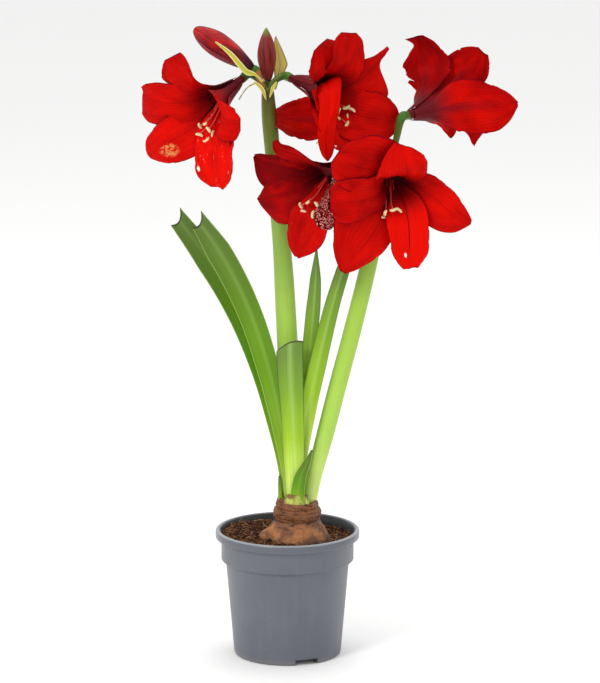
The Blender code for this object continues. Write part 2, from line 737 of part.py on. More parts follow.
def bulb_profile(grow):
    """Outer side of the bulb from its neck down, (radius, height), widened by grow."""
    profile = [(NECK_RADIUS + grow, NECK_TOP)]
    profile.append((NECK_RADIUS + grow, NECK_START))
    for place in np.linspace(0.0, 1.0, 6)[1:]:
        height = NECK_START + (BULB_WIDEST - NECK_START) * place
        radius = NECK_RADIUS + (BULB_RADIUS - NECK_RADIUS) * math.sin(place * math.pi / 2) ** 1.1
        profile.append((radius + grow, height))
    for place in np.linspace(0.0, 1.0, 5)[1:]:
        height = BULB_WIDEST + (BULB_FOOT - BULB_WIDEST) * math.sin(place * math.pi / 2)
        radius = BULB_FOOT_RADIUS + (BULB_RADIUS - BULB_FOOT_RADIUS) * math.cos(place * math.pi / 2)
        profile.append((radius + grow, height))
    return profile


def build_bulb(collection, surface):
    profile = [(0.0, NECK_FLOOR), (NECK_INNER_RADIUS - 0.4 * MM, NECK_FLOOR), (NECK_INNER_RADIUS, NECK_TOP)]
    profile += bulb_profile(0.0)
    profile.append((0.0, BULB_FOOT))
    mesh = turned_mesh("bulb", profile, BULB_STEPS, collection)
    mesh.transform(Matrix.Translation((BULB_X, 0.0, 0.0)))
    add_object("bulb", mesh, collection, surface)


def build_soil(collection, surface):
    top_radius = pot_inner_radius(SOIL_TOP) - FIT_GAP
    profile = [(0.0, SOIL_TOP)]
    profile += [(top_radius * share, SOIL_TOP) for share in np.linspace(0.0, 1.0, SOIL_RINGS + 1)[1:]]
    profile += [
        (top_radius, COLLAR_BOTTOM + 4 * MM),
        (BODY_TOP_RADIUS - WALL - 2 * FIT_GAP, COLLAR_BOTTOM - 1 * MM),
        (pot_inner_radius(FLOOR) - 2 * FIT_GAP, FLOOR + FIT_GAP),
        (0.0, FLOOR + FIT_GAP),
    ]
    mesh = turned_mesh("soil", profile, SOIL_STEPS, collection)
    for vertex in mesh.vertices:
        if vertex.co.z > SOIL_TOP - 1 * MM:
            lump = noise.noise(Vector((vertex.co.x, vertex.co.y, 0.0)) * 90)
            vertex.co.z += SOIL_LUMPS * lump - SOIL_SLOPE * vertex.co.x / RIM_RADIUS
    soil = add_object("soil", mesh, collection, surface)
    hole = [(0.0, NECK_TOP)] + bulb_profile(2 * FIT_GAP)
    hole.append((0.0, BULB_FOOT - FIT_GAP))
    hole_mesh = turned_mesh("bulb_hole", hole, BULB_STEPS, collection)
    hole_mesh.transform(Matrix.Translation((BULB_X, 0.0, 0.0)))
    cutter = bpy.data.objects.new("bulb_hole", hole_mesh)
    collection.objects.link(cutter)
    boolean(soil, "DIFFERENCE", cutter=cutter)
    bpy.data.objects.remove(cutter, do_unlink=True)


def main():
    clear_scene()
    parts = new_collection(COLLECTION_NAME)
    cutters = new_collection(COLLECTION_NAME + "_cutters")
    petal = material("petal_red", PETAL_RED, 0.45)
    bud_skin = material("bud_red", BUD_RED, 0.5)
    leaf_skin = material("leaf_green", LEAF_GREEN, 0.4)
    stem_skin = material("stem_green", SCAPE_GREEN, 0.4)
    bract_skin = material("bract_yellow", BRACT_YELLOW, 0.55)
    build_pot(parts, cutters, material("pot_grey", POT_GREY, 0.4))
    build_soil(parts, material("soil_brown", SOIL_BROWN, 0.95))
    build_bulb(parts, material("bulb_brown", BULB_BROWN, 0.6))
    for name, blade in LEAVES.items():
        build_blade(name, blade, LEAF_THICKNESS, LEAF_STEPS, parts, leaf_skin)
    for name, scape in SCAPES.items():
        build_scape(name, scape, parts, stem_skin)
    for name, bloom in BLOOMS.items():
        build_bloom(name, bloom, parts, petal)
    for name, bud in BUDS.items():
        build_bud(name, bud, parts, bud_skin)
    for name, bract in BRACTS.items():
        build_blade(name, bract, BRACT_THICKNESS, BRACT_STEPS, parts, bract_skin)


main()
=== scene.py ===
import math

import bpy
import numpy as np
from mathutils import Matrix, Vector


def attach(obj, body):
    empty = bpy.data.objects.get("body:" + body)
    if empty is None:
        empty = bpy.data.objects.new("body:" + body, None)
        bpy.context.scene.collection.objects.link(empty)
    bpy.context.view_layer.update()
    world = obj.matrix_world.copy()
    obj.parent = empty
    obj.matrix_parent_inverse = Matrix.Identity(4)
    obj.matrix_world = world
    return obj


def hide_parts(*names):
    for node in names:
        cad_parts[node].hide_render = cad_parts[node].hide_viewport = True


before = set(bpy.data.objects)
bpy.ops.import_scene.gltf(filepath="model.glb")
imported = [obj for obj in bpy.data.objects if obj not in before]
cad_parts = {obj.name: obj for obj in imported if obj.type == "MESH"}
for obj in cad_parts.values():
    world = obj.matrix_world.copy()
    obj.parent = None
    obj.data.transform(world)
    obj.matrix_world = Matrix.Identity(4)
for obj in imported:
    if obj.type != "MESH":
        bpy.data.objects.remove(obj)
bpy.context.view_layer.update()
scene = bpy.context.scene
mm = 0.001
mergeWithin = 0.004 * mm


# ---- node graphs: a socket that can be added, scaled and compared like a number

def pick(sockets, key):
    if isinstance(key, int):
        return sockets[key]
    return next(s for s in sockets if s.enabled and (key is None or s.name == key))


def isArrow(value):
    if isinstance(value, Field):
        return value.socket.type in ("VECTOR", "RGBA")
    return isinstance(value, (tuple, Vector))


class Field:
    def __init__(self, graph, socket):
        self.graph = graph
        self.socket = socket

    def other(self, name):
        return Field(self.graph, pick(self.socket.node.outputs, name))


def operator(operation, reflected=False):
    if reflected:
        return lambda self, value: self.graph.work(operation, value, self)
    return lambda self, value: self.graph.work(operation, self, value)


for word, operation in {"add": "ADD", "sub": "SUBTRACT", "mul": "MULTIPLY", "truediv": "DIVIDE"}.items():
    setattr(Field, f"__{word}__", operator(operation))
    setattr(Field, f"__r{word}__", operator(operation, reflected=True))
for word, operation in {"pow": "POWER", "gt": "GREATER_THAN", "lt": "LESS_THAN"}.items():
    setattr(Field, f"__{word}__", operator(operation))


class Graph:
    def __init__(self, tree):
        self.tree = tree

    # any node: its settings first, then the values or links of its sockets
    def add(self, kind, settings=None, sockets=None, out=None):
        node = self.tree.nodes.new(kind)
        for name, value in (settings or {}).items():
            if name == "stops":
                self.setStops(node.color_ramp, value)
            else:
                setattr(node, name, value)
        for name, value in (sockets or {}).items():
            self.feed(pick(node.inputs, name), value)
        return Field(self, pick(node.outputs, out))

    def setStops(self, ramp, stops):
        while len(ramp.elements) < len(stops):
            ramp.elements.new(0.5)
        for element, (where, colour) in zip(ramp.elements, stops):
            element.position = where
            element.color = (*colour, 1.0)

    def feed(self, socket, value):
        if isinstance(value, list):
            for each in value:
                self.feed(socket, each)
        elif isinstance(value, Field):
            self.tree.links.new(value.socket, socket)
        elif socket.type == "RGBA":
            socket.default_value = (*value, 1.0)[:4]
        elif socket.type == "VECTOR" and not isArrow(value):
            socket.default_value = (value, value, value)
        else:
            socket.default_value = value

    def work(self, operation, first, second):
        if not (isArrow(first) or isArrow(second)):
            return self.add("ShaderNodeMath", {"operation": operation}, {0: first, 1: second})
        if operation == "DIVIDE" and not isArrow(second):
            operation, second = "MULTIPLY", 1.0 / second
        if operation == "MULTIPLY" and not (isArrow(first) and isArrow(second)):
            arrow, size = (first, second) if isArrow(first) else (second, first)
            return self.add("ShaderNodeVectorMath", {"operation": "SCALE"}, {0: arrow, "Scale": size})
        return self.add("ShaderNodeVectorMath", {"operation": operation}, {0: first, 1: second})

    def maths(self, operation, *values):
        return self.add("ShaderNodeMath", {"operation": operation}, dict(enumerate(values)))

    def vectors(self, operation, *values, out=None):
        return self.add("ShaderNodeVectorMath", {"operation": operation}, dict(enumerate(values)), out)

    def unit(self, arrow):
        return self.vectors("NORMALIZE", arrow)

    def cross(self, first, second):
        return self.vectors("CROSS_PRODUCT", first, second)

    # what is left of an arrow once its share along another is taken off, as a unit
    def square(self, arrow, along):
        return self.unit(arrow - along * self.vectors("DOT_PRODUCT", along, arrow, out="Value"))

    def length(self, x, y):
        return self.vectors("LENGTH", self.arrow(x, y), out="Value")

    # a flat grid of points, and its shares from 0 to 1 across and along
    def sheet(self, columns, rows):
        grid = self.add("GeometryNodeMeshGrid", {},
                        {"Size X": 1.0, "Size Y": 1.0, "Vertices X": columns, "Vertices Y": rows}, "Mesh")
        across, along, _ = self.parts(grid.other("UV Map"))
        return grid, across, along

    # a sheet whose columns crowd towards its edges: -1 on one edge, 1 on the other
    def blade(self, columns, rows):
        grid, across, along = self.sheet(columns, rows)
        return grid, self.sine((across * 2.0 - 1.0) * (math.pi / 2)), along

    # reads a curve at a place from 0 to 1: a named measure, or else its position
    def sample(self, curve, place, name=None):
        sockets = {"Curves": curve, "Factor": place}
        if name:
            sockets["Value"] = self.add("GeometryNodeInputNamedAttribute", {"data_type": "FLOAT"}, {"Name": name},
                                        "Attribute")
        return self.add("GeometryNodeSampleCurve", {"data_type": "FLOAT", "mode": "FACTOR"}, sockets,
                        "Value" if name else "Position")

    def move(self, shape, point):
        return self.add("GeometryNodeSetPosition", {}, {"Geometry": shape, "Position": point * mm})

    # two arrows, or two measures, turned together by an angle
    def spin(self, first, second, angle):
        cos, sin = self.cosine(angle), self.sine(angle)
        return first * cos + second * sin, second * cos - first * sin

    # 1 in the middle, falling to 0 on both sides
    def ridge(self, width, value):
        return 1.0 - self.smooth(0.0, width, self.size(value))

    def smooth(self, low, high, value):
        return self.add("ShaderNodeMapRange", {"interpolation_type": "SMOOTHSTEP"},
                        {"Value": value, "From Min": low, "From Max": high})

    def ramp(self, value, low, high, start, end):
        return self.add("ShaderNodeMapRange", {},
                        {"Value": value, "From Min": low, "From Max": high, "To Min": start, "To Max": end})

    def between(self, share, first, second):
        return self.add("ShaderNodeMix", {"data_type": "RGBA"}, {"Factor": share, "A": first, "B": second})

    def colours(self, value, *stops):
        return self.add("ShaderNodeValToRGB", {"stops": stops}, {"Fac": value}, "Color")

    def arrow(self, x=0.0, y=0.0, z=0.0):
        return self.add("ShaderNodeCombineXYZ", {}, {"X": x, "Y": y, "Z": z})

    def parts(self, arrow):
        split = self.add("ShaderNodeSeparateXYZ", {}, {"Vector": arrow})
        return split, split.other("Y"), split.other("Z")

    def noise(self, where, scale, detail, roughness=0.5):
        return self.add("ShaderNodeTexNoise", {},
                        {"Vector": where, "Scale": scale, "Detail": detail, "Roughness": roughness})

    # noise over three coordinates that are already scaled
    def grain(self, x, y, z, detail, roughness=0.5):
        return self.noise(self.arrow(x, y, z), 1.0, detail, roughness)

    def cells(self, where):
        return self.add("ShaderNodeTexVoronoi", {}, {"Vector": where, "Scale": 1.0}, "Distance")

    # a place on the object, in metres, and the same place stretched
    def here(self):
        return self.add("ShaderNodeTexCoord", {}, {}, "Object")

    def stretched(self, where, *scale):
        return self.add("ShaderNodeMapping", {}, {"Vector": where, "Scale": scale})


for word, operation in {"sine": "SINE", "cosine": "COSINE", "size": "ABSOLUTE", "least": "MINIMUM", "most": "MAXIMUM",
                        "root": "SQRT", "sign": "SIGN"}.items():
    setattr(Graph, word, lambda self, *values, operation=operation: self.maths(operation, *values))


# ---- geometry trees

def newTree(name, floats=(), vectors=(), integers=()):
    tree = bpy.data.node_groups.new(name, "GeometryNodeTree")
    kinds = {"NodeSocketFloat": floats, "NodeSocketVector": vectors, "NodeSocketInt": integers,
             "NodeSocketMaterial": ("finish",)}
    tree.interface.new_socket("Geometry", in_out="INPUT", socket_type="NodeSocketGeometry")
    for kind, names in kinds.items():
        for each in names:
            tree.interface.new_socket(each, in_out="INPUT", socket_type=kind)
    tree.interface.new_socket("Geometry", in_out="OUTPUT", socket_type="NodeSocketGeometry")
    graph = Graph(tree)
    group = tree.nodes.new("NodeGroupInput")
    given = {socket.name: Field(graph, socket) for socket in group.outputs if socket.name}
    return graph, given


def endTree(graph, shape, finish):
    real = graph.add("GeometryNodeRealizeInstances", {}, {"Geometry": shape})
    dressed = graph.add("GeometryNodeSetMaterial", {}, {"Geometry": real, "Material": finish})
    output = graph.tree.nodes.new("NodeGroupOutput")
    graph.feed(output.inputs["Geometry"], dressed)
    return graph.tree


def newObject(name, data):
    thing = bpy.data.objects.new(name, data)
    scene.collection.objects.link(thing)
    return thing


# runs a tree on a fresh object, its inputs set by identifier, and gives back the plain mesh
def shapeBy(tree, name, values, source=None):
    thing = newObject(name, source or bpy.data.meshes.new(name))
    modifier = thing.modifiers.new(name, "NODES")
    modifier.node_group = tree
    for item in tree.interface.items_tree:
        if item.item_type == "SOCKET" and item.in_out == "INPUT" and item.name in values:
            value = values[item.name]
            if item.socket_type == "NodeSocketFloat":
                value = float(value)
            elif item.socket_type == "NodeSocketVector":
                value = tuple(float(v) for v in value)
            modifier[item.identifier] = value
    graph = bpy.context.evaluated_depsgraph_get()
    mesh = bpy.data.meshes.new_from_object(thing.evaluated_get(graph), preserve_all_data_layers=True, depsgraph=graph)
    bpy.data.objects.remove(thing, do_unlink=True)
    mesh.name = name
    return mesh


def bezier(place, ends):
    left = 1.0 - place
    return left**3 * ends[0] + left**2 * place * ends[1] * 3.0 + left * place**2 * ends[2] * 3.0 + place**3 * ends[3]


def bezierSlope(place, ends):
    left = 1.0 - place
    return (left**2 * (ends[1] - ends[0]) + left * place * (ends[2] - ends[1]) * 2.0
            + place**2 * (ends[3] - ends[2])) * 3.0


# merges doubled points, turns the faces round where asked, and smooths the mesh
def joinUp(graph, shape, turned=False):
    shape = graph.add("GeometryNodeMergeByDistance", {}, {"Geometry": shape, "Distance": mergeWithin})
    if turned:
        shape = graph.add("GeometryNodeFlipFaces", {}, {"Mesh": shape})
    return graph.add("GeometryNodeSetShadeSmooth", {}, {"Geometry": shape, "Shade Smooth": True})


# a blade's thickness: thinner towards its edges, and full a little way in from both ends
def thinned(graph, thickness, edge, share):
    ends = graph.least(graph.least(share, 1.0 - share) * 24.0, 1.0)
    return thickness * graph.root(graph.most(1.0 - edge**6.0, 0.0)) * ends


# the first two and last two rows share a place, so that the ends close flat
def endRows(graph, share, rows):
    steps = rows - 1.0
    row = share * steps
    place = graph.least(graph.most((row - 1.0) / (steps - 2.0), 0.0), 1.0)
    return place, graph.smooth(0.0, 1.0, row) * graph.smooth(0.0, 1.0, steps - row)


# closes a sheet: two faces held half a thickness off it, merged along their common rim
def closeSheet(graph, sheet, thickness, shareMap, finish):
    normal = graph.add("GeometryNodeInputNormal")
    edge, place = shareMap
    faces = []
    for outside in (0.0, 1.0):
        way = 0.5 * mm if outside == 0.0 else -0.5 * mm
        face = keep(graph, sheet, "blade", graph.arrow(edge, place, outside))
        face = graph.add("GeometryNodeSetPosition", {}, {"Geometry": face, "Offset": normal * (thickness * way)})
        if outside:
            face = graph.add("GeometryNodeFlipFaces", {}, {"Mesh": face})
        faces.append(face)
    both = graph.add("GeometryNodeJoinGeometry", {}, {"Geometry": faces})
    return endTree(graph, joinUp(graph, both), finish)


def keep(graph, shape, name, value):
    return graph.add("GeometryNodeStoreNamedAttribute", {"data_type": "FLOAT_VECTOR" if isArrow(value) else "FLOAT"},
                     {"Geometry": shape, "Name": name, "Value": value})


# ---- putting pieces into the scene

def showPiece(name, meshes, slot, *nodes):
    things = [newObject(name, mesh) for mesh in meshes]
    if len(things) > 1:
        with bpy.context.temp_override(active_object=things[0], object=things[0],
                                       selected_editable_objects=things, selected_objects=things):
            bpy.ops.object.join()
    piece = things[0]
    piece.name = name
    piece.data.name = name
    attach(piece, "root")
    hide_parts(*nodes)
    return piece


def newFinish(name, **fixed):
    material = bpy.data.materials.new(name)
    material.use_nodes = True
    graph = Graph(material.node_tree)
    shader = material.node_tree.nodes["Principled BSDF"]
    for socket, value in fixed.items():
        graph.feed(shader.inputs[socket.replace("_", " ")], value)
    return material, graph, shader


# links a finish's colour, roughness and bump (height, strength, distance)
def dress(graph, shader, tone, rough=None, bump=None):
    graph.feed(shader.inputs["Base Color"], tone)
    if rough is not None:
        graph.feed(shader.inputs["Roughness"], rough)
    if bump is not None:
        sockets = dict(zip(("Height", "Strength", "Distance"), bump))
        graph.feed(shader.inputs["Normal"], graph.add("ShaderNodeBump", {}, sockets, "Normal"))


def darker(colour, share):
    return tuple(share * part for part in colour)


# the three values of a stored vector; a single stored value comes three times
def attribute(graph, name):
    return graph.parts(graph.add("ShaderNodeAttribute", {"attribute_name": name}, {}, "Vector"))


# a smooth value at a place between knots
def through(values, slopes, knots, place):
    index = min(int(np.searchsorted(knots, place, side="right")) - 1, len(knots) - 2)
    width = knots[index + 1] - knots[index]
    t = (place - knots[index]) / width
    return ((2 * t**3 - 3 * t**2 + 1) * values[index] + (t**3 - 2 * t**2 + t) * width * slopes[index]
            + (3 * t**2 - 2 * t**3) * values[index + 1] + (t**3 - t**2) * width * slopes[index + 1])


# a smooth curve through points, shared out evenly
def smoothRoute(points, count):
    points = np.array(points, float)
    span = np.linalg.norm(np.diff(points, axis=0), axis=1) ** 0.5
    knots = np.concatenate([[0.0], np.cumsum(span)])
    slopes = np.gradient(points, knots, axis=0)
    return np.array([through(points, slopes, knots, place) for place in np.linspace(0.0, knots[-1], count)])


def spread(values, count):
    return np.interp(np.linspace(0, 1, count), np.linspace(0, 1, len(values)), values)


# a chain of points with its measures, in mm where a tree turns it into a curve
def chain(name, points, **measures):
    mesh = bpy.data.meshes.new(name)
    mesh.from_pydata([tuple(p) for p in points], [(i, i + 1) for i in range(len(points) - 1)], [])
    for key, values in measures.items():
        layer = mesh.attributes.new(key, "FLOAT", "POINT")
        layer.data.foreach_set("value", np.array(values, np.float32))
    return mesh


# ---- camera, floor and light

camera = {
    "place": (0.0113, -3.2, 0.9366), "tiltDown": 11.47, "lens": 192.6,
    "floor": (0.95, 0.95, 0.945), "sky": (1.0, 1.0, 1.0), "skyStrength": 0.92,
    # name: place, aimed at, width, power, colour
    "lamps": {
        "keyLight": ((-1.5, -2.0, 2.0), (0.0, 0.0, 0.33), 0.8, 34.0, (1.0, 0.985, 0.96)),
        "fillLight": ((1.9, -1.7, 1.0), (0.0, 0.0, 0.33), 1.5, 4.0, (0.96, 0.98, 1.0)),
        "topLight": ((0.2, 0.5, 2.4), (0.0, 0.0, 0.4), 1.4, 14.0, (1.0, 1.0, 1.0)),
    },
}


def buildStudio(look):
    eye = newObject("camera", bpy.data.cameras.new("camera"))
    eye.data.lens = look["lens"]
    eye.data.clip_end = 50.0
    eye.location = look["place"]
    eye.rotation_euler = (math.radians(90 - look["tiltDown"]), 0.0, 0.0)
    scene.camera = eye
    for name, (place, aim, width, power, colour) in look["lamps"].items():
        lamp = bpy.data.lights.new(name, "AREA")
        lamp.shape = "DISK"
        lamp.size = width
        lamp.energy = power
        lamp.color = colour
        thing = newObject(name, lamp)
        thing.location = place
        thing.rotation_euler = (Vector(aim) - Vector(place)).to_track_quat("-Z", "Y").to_euler()
    world = bpy.data.worlds.new("studio")
    world.use_nodes = True
    background = world.node_tree.nodes["Background"]
    background.inputs["Color"].default_value = (*look["sky"], 1.0)
    background.inputs["Strength"].default_value = look["skyStrength"]
    scene.world = world
    mesh = bpy.data.meshes.new("floor")
    mesh.from_pydata([(-6, -6, 0), (6, -6, 0), (6, 6, 0), (-6, 6, 0)], [], [(0, 1, 2, 3)])
    floor = newObject("floor", mesh)
    material, graph, shader = newFinish("paleFloor", Roughness=0.8, Specular_IOR_Level=0.2)
    where = graph.here()
    tone = graph.noise(where, 3.0, 2.0)
    dress(graph, shader, graph.between(tone, look["floor"], darker(look["floor"], 0.985)))
    mesh.materials.append(material)


buildStudio(camera)
scene.view_settings.view_transform = "Standard"
print("studio: camera, floor and three lamps")


# ---- petals

petalLook = {
    "bright": (0.70, 0.004, 0.001), "deep": (0.30, 0.001, 0.001), "dark": (0.060, 0.001, 0.003),
    "tube": (0.055, 0.004, 0.012), "rib": (0.30, 0.030, 0.025), "rim": (0.085, 0.001, 0.008),
    "keel": (0.130, 0.006, 0.014), "dots": (0.92, 0.38, 0.30), "bruise": (0.60, 0.24, 0.075),
    "paleSpot": (0.95, 0.80, 0.66), "roughness": 0.46, "veins": 17.0, "fineVeins": 46.0,
}


def petalFinish(look):
    material, graph, shader = newFinish(
        "petal", Specular_IOR_Level=0.02, Subsurface_Weight=0.06, Subsurface_Radius=(0.004, 0.0006, 0.0004),
        Subsurface_Scale=0.5)
    across, place, outside = attribute(graph, "blade")
    shade, throat, dots = attribute(graph, "marks")
    bruise, seed, purple = attribute(graph, "wear")
    spotAcross, spotPlace, midrib = attribute(graph, "spot")
    where = graph.arrow(across * 2.2, place * 5.0, seed)
    wobble = graph.noise(where, 1.3, 2.0) - 0.5
    patch = graph.noise(where, 0.9, 3.0)
    veins = graph.size(graph.sine((across * look["veins"] + wobble * 2.4) * math.pi * 0.5))
    fine = graph.grain(across * look["fineVeins"], place * 3.2, seed, 2.0)
    lines = (1.0 - veins) ** 5.0
    # painted shade: the shade value, partly each petal's own tone and partly painted shade, runs from bright to deep
    # red and, past 0.62, towards dark
    tone = graph.between(shade + (patch - 0.5) * 1.3 + outside * 0.14, look["bright"], look["deep"])
    tone = graph.between(graph.smooth(0.62, 1.35, shade + (patch - 0.5) * 0.4 + outside * 0.3), tone, look["dark"])
    tone = graph.between(lines * 0.28 + graph.smooth(0.5, 0.75, fine) * 0.16, tone, look["dark"])
    # a dark throat towards each petal's root, weaker on the lower petals: partly the flower's own dark throat, partly
    # painted shade
    inner = graph.smooth(0.70, 0.30, place + (fine - 0.5) * 0.22 + graph.size(across) * 0.06)
    tone = graph.between(inner * throat * (1.0 - outside), tone, look["dark"])
    ribs = graph.smooth(0.55, 0.9, veins) * 0.6
    tubeTone = graph.between(ribs, look["tube"], look["rib"])
    tone = graph.between(graph.smooth(0.55, 0.22, place - purple + (fine - 0.5) * 0.16) * outside, tone, tubeTone)
    keel = graph.smooth(0.26, 0.02, graph.size(across) + (fine - 0.5) * 0.12) * graph.smooth(0.92, 0.5, place)
    tone = graph.between(keel * outside * 0.55, tone, look["keel"])
    # painted shade along the midrib crease inside each petal, stronger where the midrib is marked
    creaseShade = graph.smooth(0.05, 0.0, graph.size(across)) * graph.smooth(0.96, 0.8, place)
    tone = graph.between(creaseShade * (0.25 + midrib * 0.6) * (1.0 - outside), tone, look["dark"])
    rim = graph.smooth(0.945, 0.99, graph.size(across) + (fine - 0.5) * 0.03) * graph.smooth(0.3, 0.5, place)
    tone = graph.between(graph.most(rim, graph.smooth(0.988, 0.998, place)) * 0.8, tone, look["rim"])
    speck = graph.cells(graph.arrow(across * 13.0, place * 36.0, seed))
    speckPatch = graph.smooth(0.44, 0.6, graph.noise(where, 2.4, 2.0) + (dots - 1.0) * 0.3)
    speckle = graph.smooth(0.42, 0.2, speck) * speckPatch * dots
    tone = graph.between(speckle, tone, look["dots"])
    stain = graph.smooth(0.43, 0.57, graph.grain(across * 9.0, place * 34.0, seed + 1.3, 4.0, 0.65))
    away = graph.length((across + 0.35) / 0.42, (place - 0.83) / 0.095)
    stain = stain * graph.smooth(1.0, 0.6, away + (patch - 0.5) * 0.8)
    tone = graph.between(stain * bruise * 0.9, tone, look["bruise"])
    # a small pale spot at a given place on a petal
    away = graph.length((across - spotAcross) / 0.08, (place - spotPlace) / 0.02)
    tone = graph.between(graph.smooth(1.0, 0.7, away), tone, look["paleSpot"])
    rough = look["roughness"] + (fine - 0.5) * 0.16 + stain * bruise * 0.2
    height = veins ** 0.5 * 0.6 + fine * 0.5 + graph.grain(across * 60.0, place * 150.0, seed, 1.0) * 0.18
    dress(graph, shader, tone, rough, (height, 0.5, 0.0006))
    return material


petalRule = {
    "rows": 74, "columns": 26, "crowding": 1.6, "widestAt": 0.64, "opening": (0.22, 0.62), "turning": (0.3, 0.95),
    "rippling": (0.4, 0.8), "ripples": 1.6, "rippleLag": 1.9, "rootRadius": 3.8, "rootHeight": 9.0,
    "tubeRadius": 9.0, "tubeHeight": 42.0, "tubeShare": 0.72, "whorlStep": 1.1, "thickness": 0.9, "blunt": 0.5,
    "cup": 2.0, "ripple": 1.5, "frill": 0.7, "frillCount": 4.0, "rib": 0.9, "edgeSteps": 81,
}


# half the width of a petal, from its left and right edges; the left sample also knows the curve's line
def petalHalf(graph, curve, place, edge):
    left, right = (graph.sample(curve, place, side) for side in ("left", "right"))
    share = graph.smooth(-0.3, 0.3, edge)
    return left, left * (1.0 - share) + right * share


def petalTree(rule):
    graph, given = newTree(
        "petalShape",
        floats=("root", "turn", "mouthRadius", "reach", "archHeight", "height", "width", "lift", "slant", "whorl",
                "ragged", "seed", "thickness"),
        vectors=("foot", "line", "up", "side", "marks", "wear", "spot"))
    edges = graph.add("GeometryNodeMeshToCurve", {}, {"Mesh": given["Geometry"]})
    grid, edge, share = graph.blade(rule["columns"], rule["rows"])
    place = 1.0 - graph.most(1.0 - share, 0.0) ** rule["crowding"]
    low, high = rule["turning"]
    turned = graph.smooth(low, high, place)
    turnStep = graph.least(graph.most((place - low) / (high - low), 0.0), 1.0)
    angle = given["root"] + given["turn"] * turned
    outward, around = graph.spin(given["up"], given["side"], angle)
    radiusEnds = (rule["rootRadius"], rule["tubeRadius"], given["mouthRadius"], given["reach"])
    heightEnds = (rule["rootHeight"], rule["tubeHeight"], given["archHeight"], given["height"])
    radius = bezier(place, radiusEnds)
    middle = given["foot"] + given["line"] * bezier(place, heightEnds) + outward * radius
    slope = (given["line"] * bezierSlope(place, heightEnds) + outward * bezierSlope(place, radiusEnds)
             + around * (radius * given["turn"] * turnStep * (1.0 - turnStep) * (6.0 / (high - low))))
    along = graph.unit(slope)
    sideways = graph.cross(outward, given["line"])
    sideways = graph.square(sideways, along)
    inward = graph.cross(sideways, along)

    opened = graph.smooth(*rule["opening"], place)
    tubeRadius = radius - given["whorl"] * rule["whorlStep"]
    halfWidth = (1.0 - opened) * rule["tubeShare"] * tubeRadius + opened * petalHalf(graph, edges, place, edge)[1]
    bend = (1.0 - opened) / tubeRadius + opened * given["lift"] * 2.0 / (given["width"] * 0.5) ** 2.0
    sideOf = graph.sign(edge)
    torn = graph.grain(place * 9.0, sideOf * 3.0, given["seed"], 3.0, 0.6)
    bite = graph.smooth(0.5, 0.66, torn) * given["ragged"] * graph.size(edge) ** 3.0 * graph.smooth(0.45, 0.6, place)
    out = edge * halfWidth * (1.0 - bite)
    x = graph.sine(bend * out) / bend
    wave = graph.sine(place * (2 * math.pi * rule["ripples"]) + given["seed"] + (edge > 0.0) * rule["rippleLag"])
    rippling = graph.smooth(*rule["rippling"], place)
    z = (1.0 - graph.cosine(bend * out)) / bend + rule["ripple"] * wave * edge**2.0 * rippling
    z = z + given["whorl"] * rule["whorlStep"]
    frill = graph.sine(place * rule["frillCount"] * (2 * math.pi) + given["seed"] * 2.0 + sideOf * 1.3
                       + graph.grain(place * 4.0, sideOf, given["seed"], 1.0) * 7.0)
    z = z + rule["frill"] * frill * graph.size(edge) ** 5.0 * rippling
    swell = graph.grain(edge * 1.1, place * 4.2, given["seed"], 1.0) - 0.5
    z = z + swell * 4.0 * opened
    z = z - rule["rib"] * graph.ridge(0.16, edge) * opened * graph.smooth(1.0, 0.85, place)
    pleats = graph.sine(edge * 14.0 + given["seed"])
    z = z + pleats * 0.22 * opened * graph.smooth(1.0, 0.8, place)
    point = middle + sideways * x + inward * z + along * (given["slant"] * edge * 0.5 * place**5.0)
    sheet = graph.move(grid, point)
    for name in ("marks", "wear", "spot"):
        sheet = keep(graph, sheet, name, given[name])
    thickness = thinned(graph, given["thickness"], edge, share)
    return closeSheet(graph, sheet, thickness, (edge, place), given["finish"])


# edge rows at the usual places
def even(left, right):
    return tuple(zip((0.5, 0.6, 0.7, 0.8, 0.9, 0.96, 1), left, right))


def petal(root, tip, reach, height, arch, width=None, shade=0.25, **looks):
    return dict(root=root, tip=tip, reach=reach, height=height, arch=arch, width=width, shade=shade, **looks)
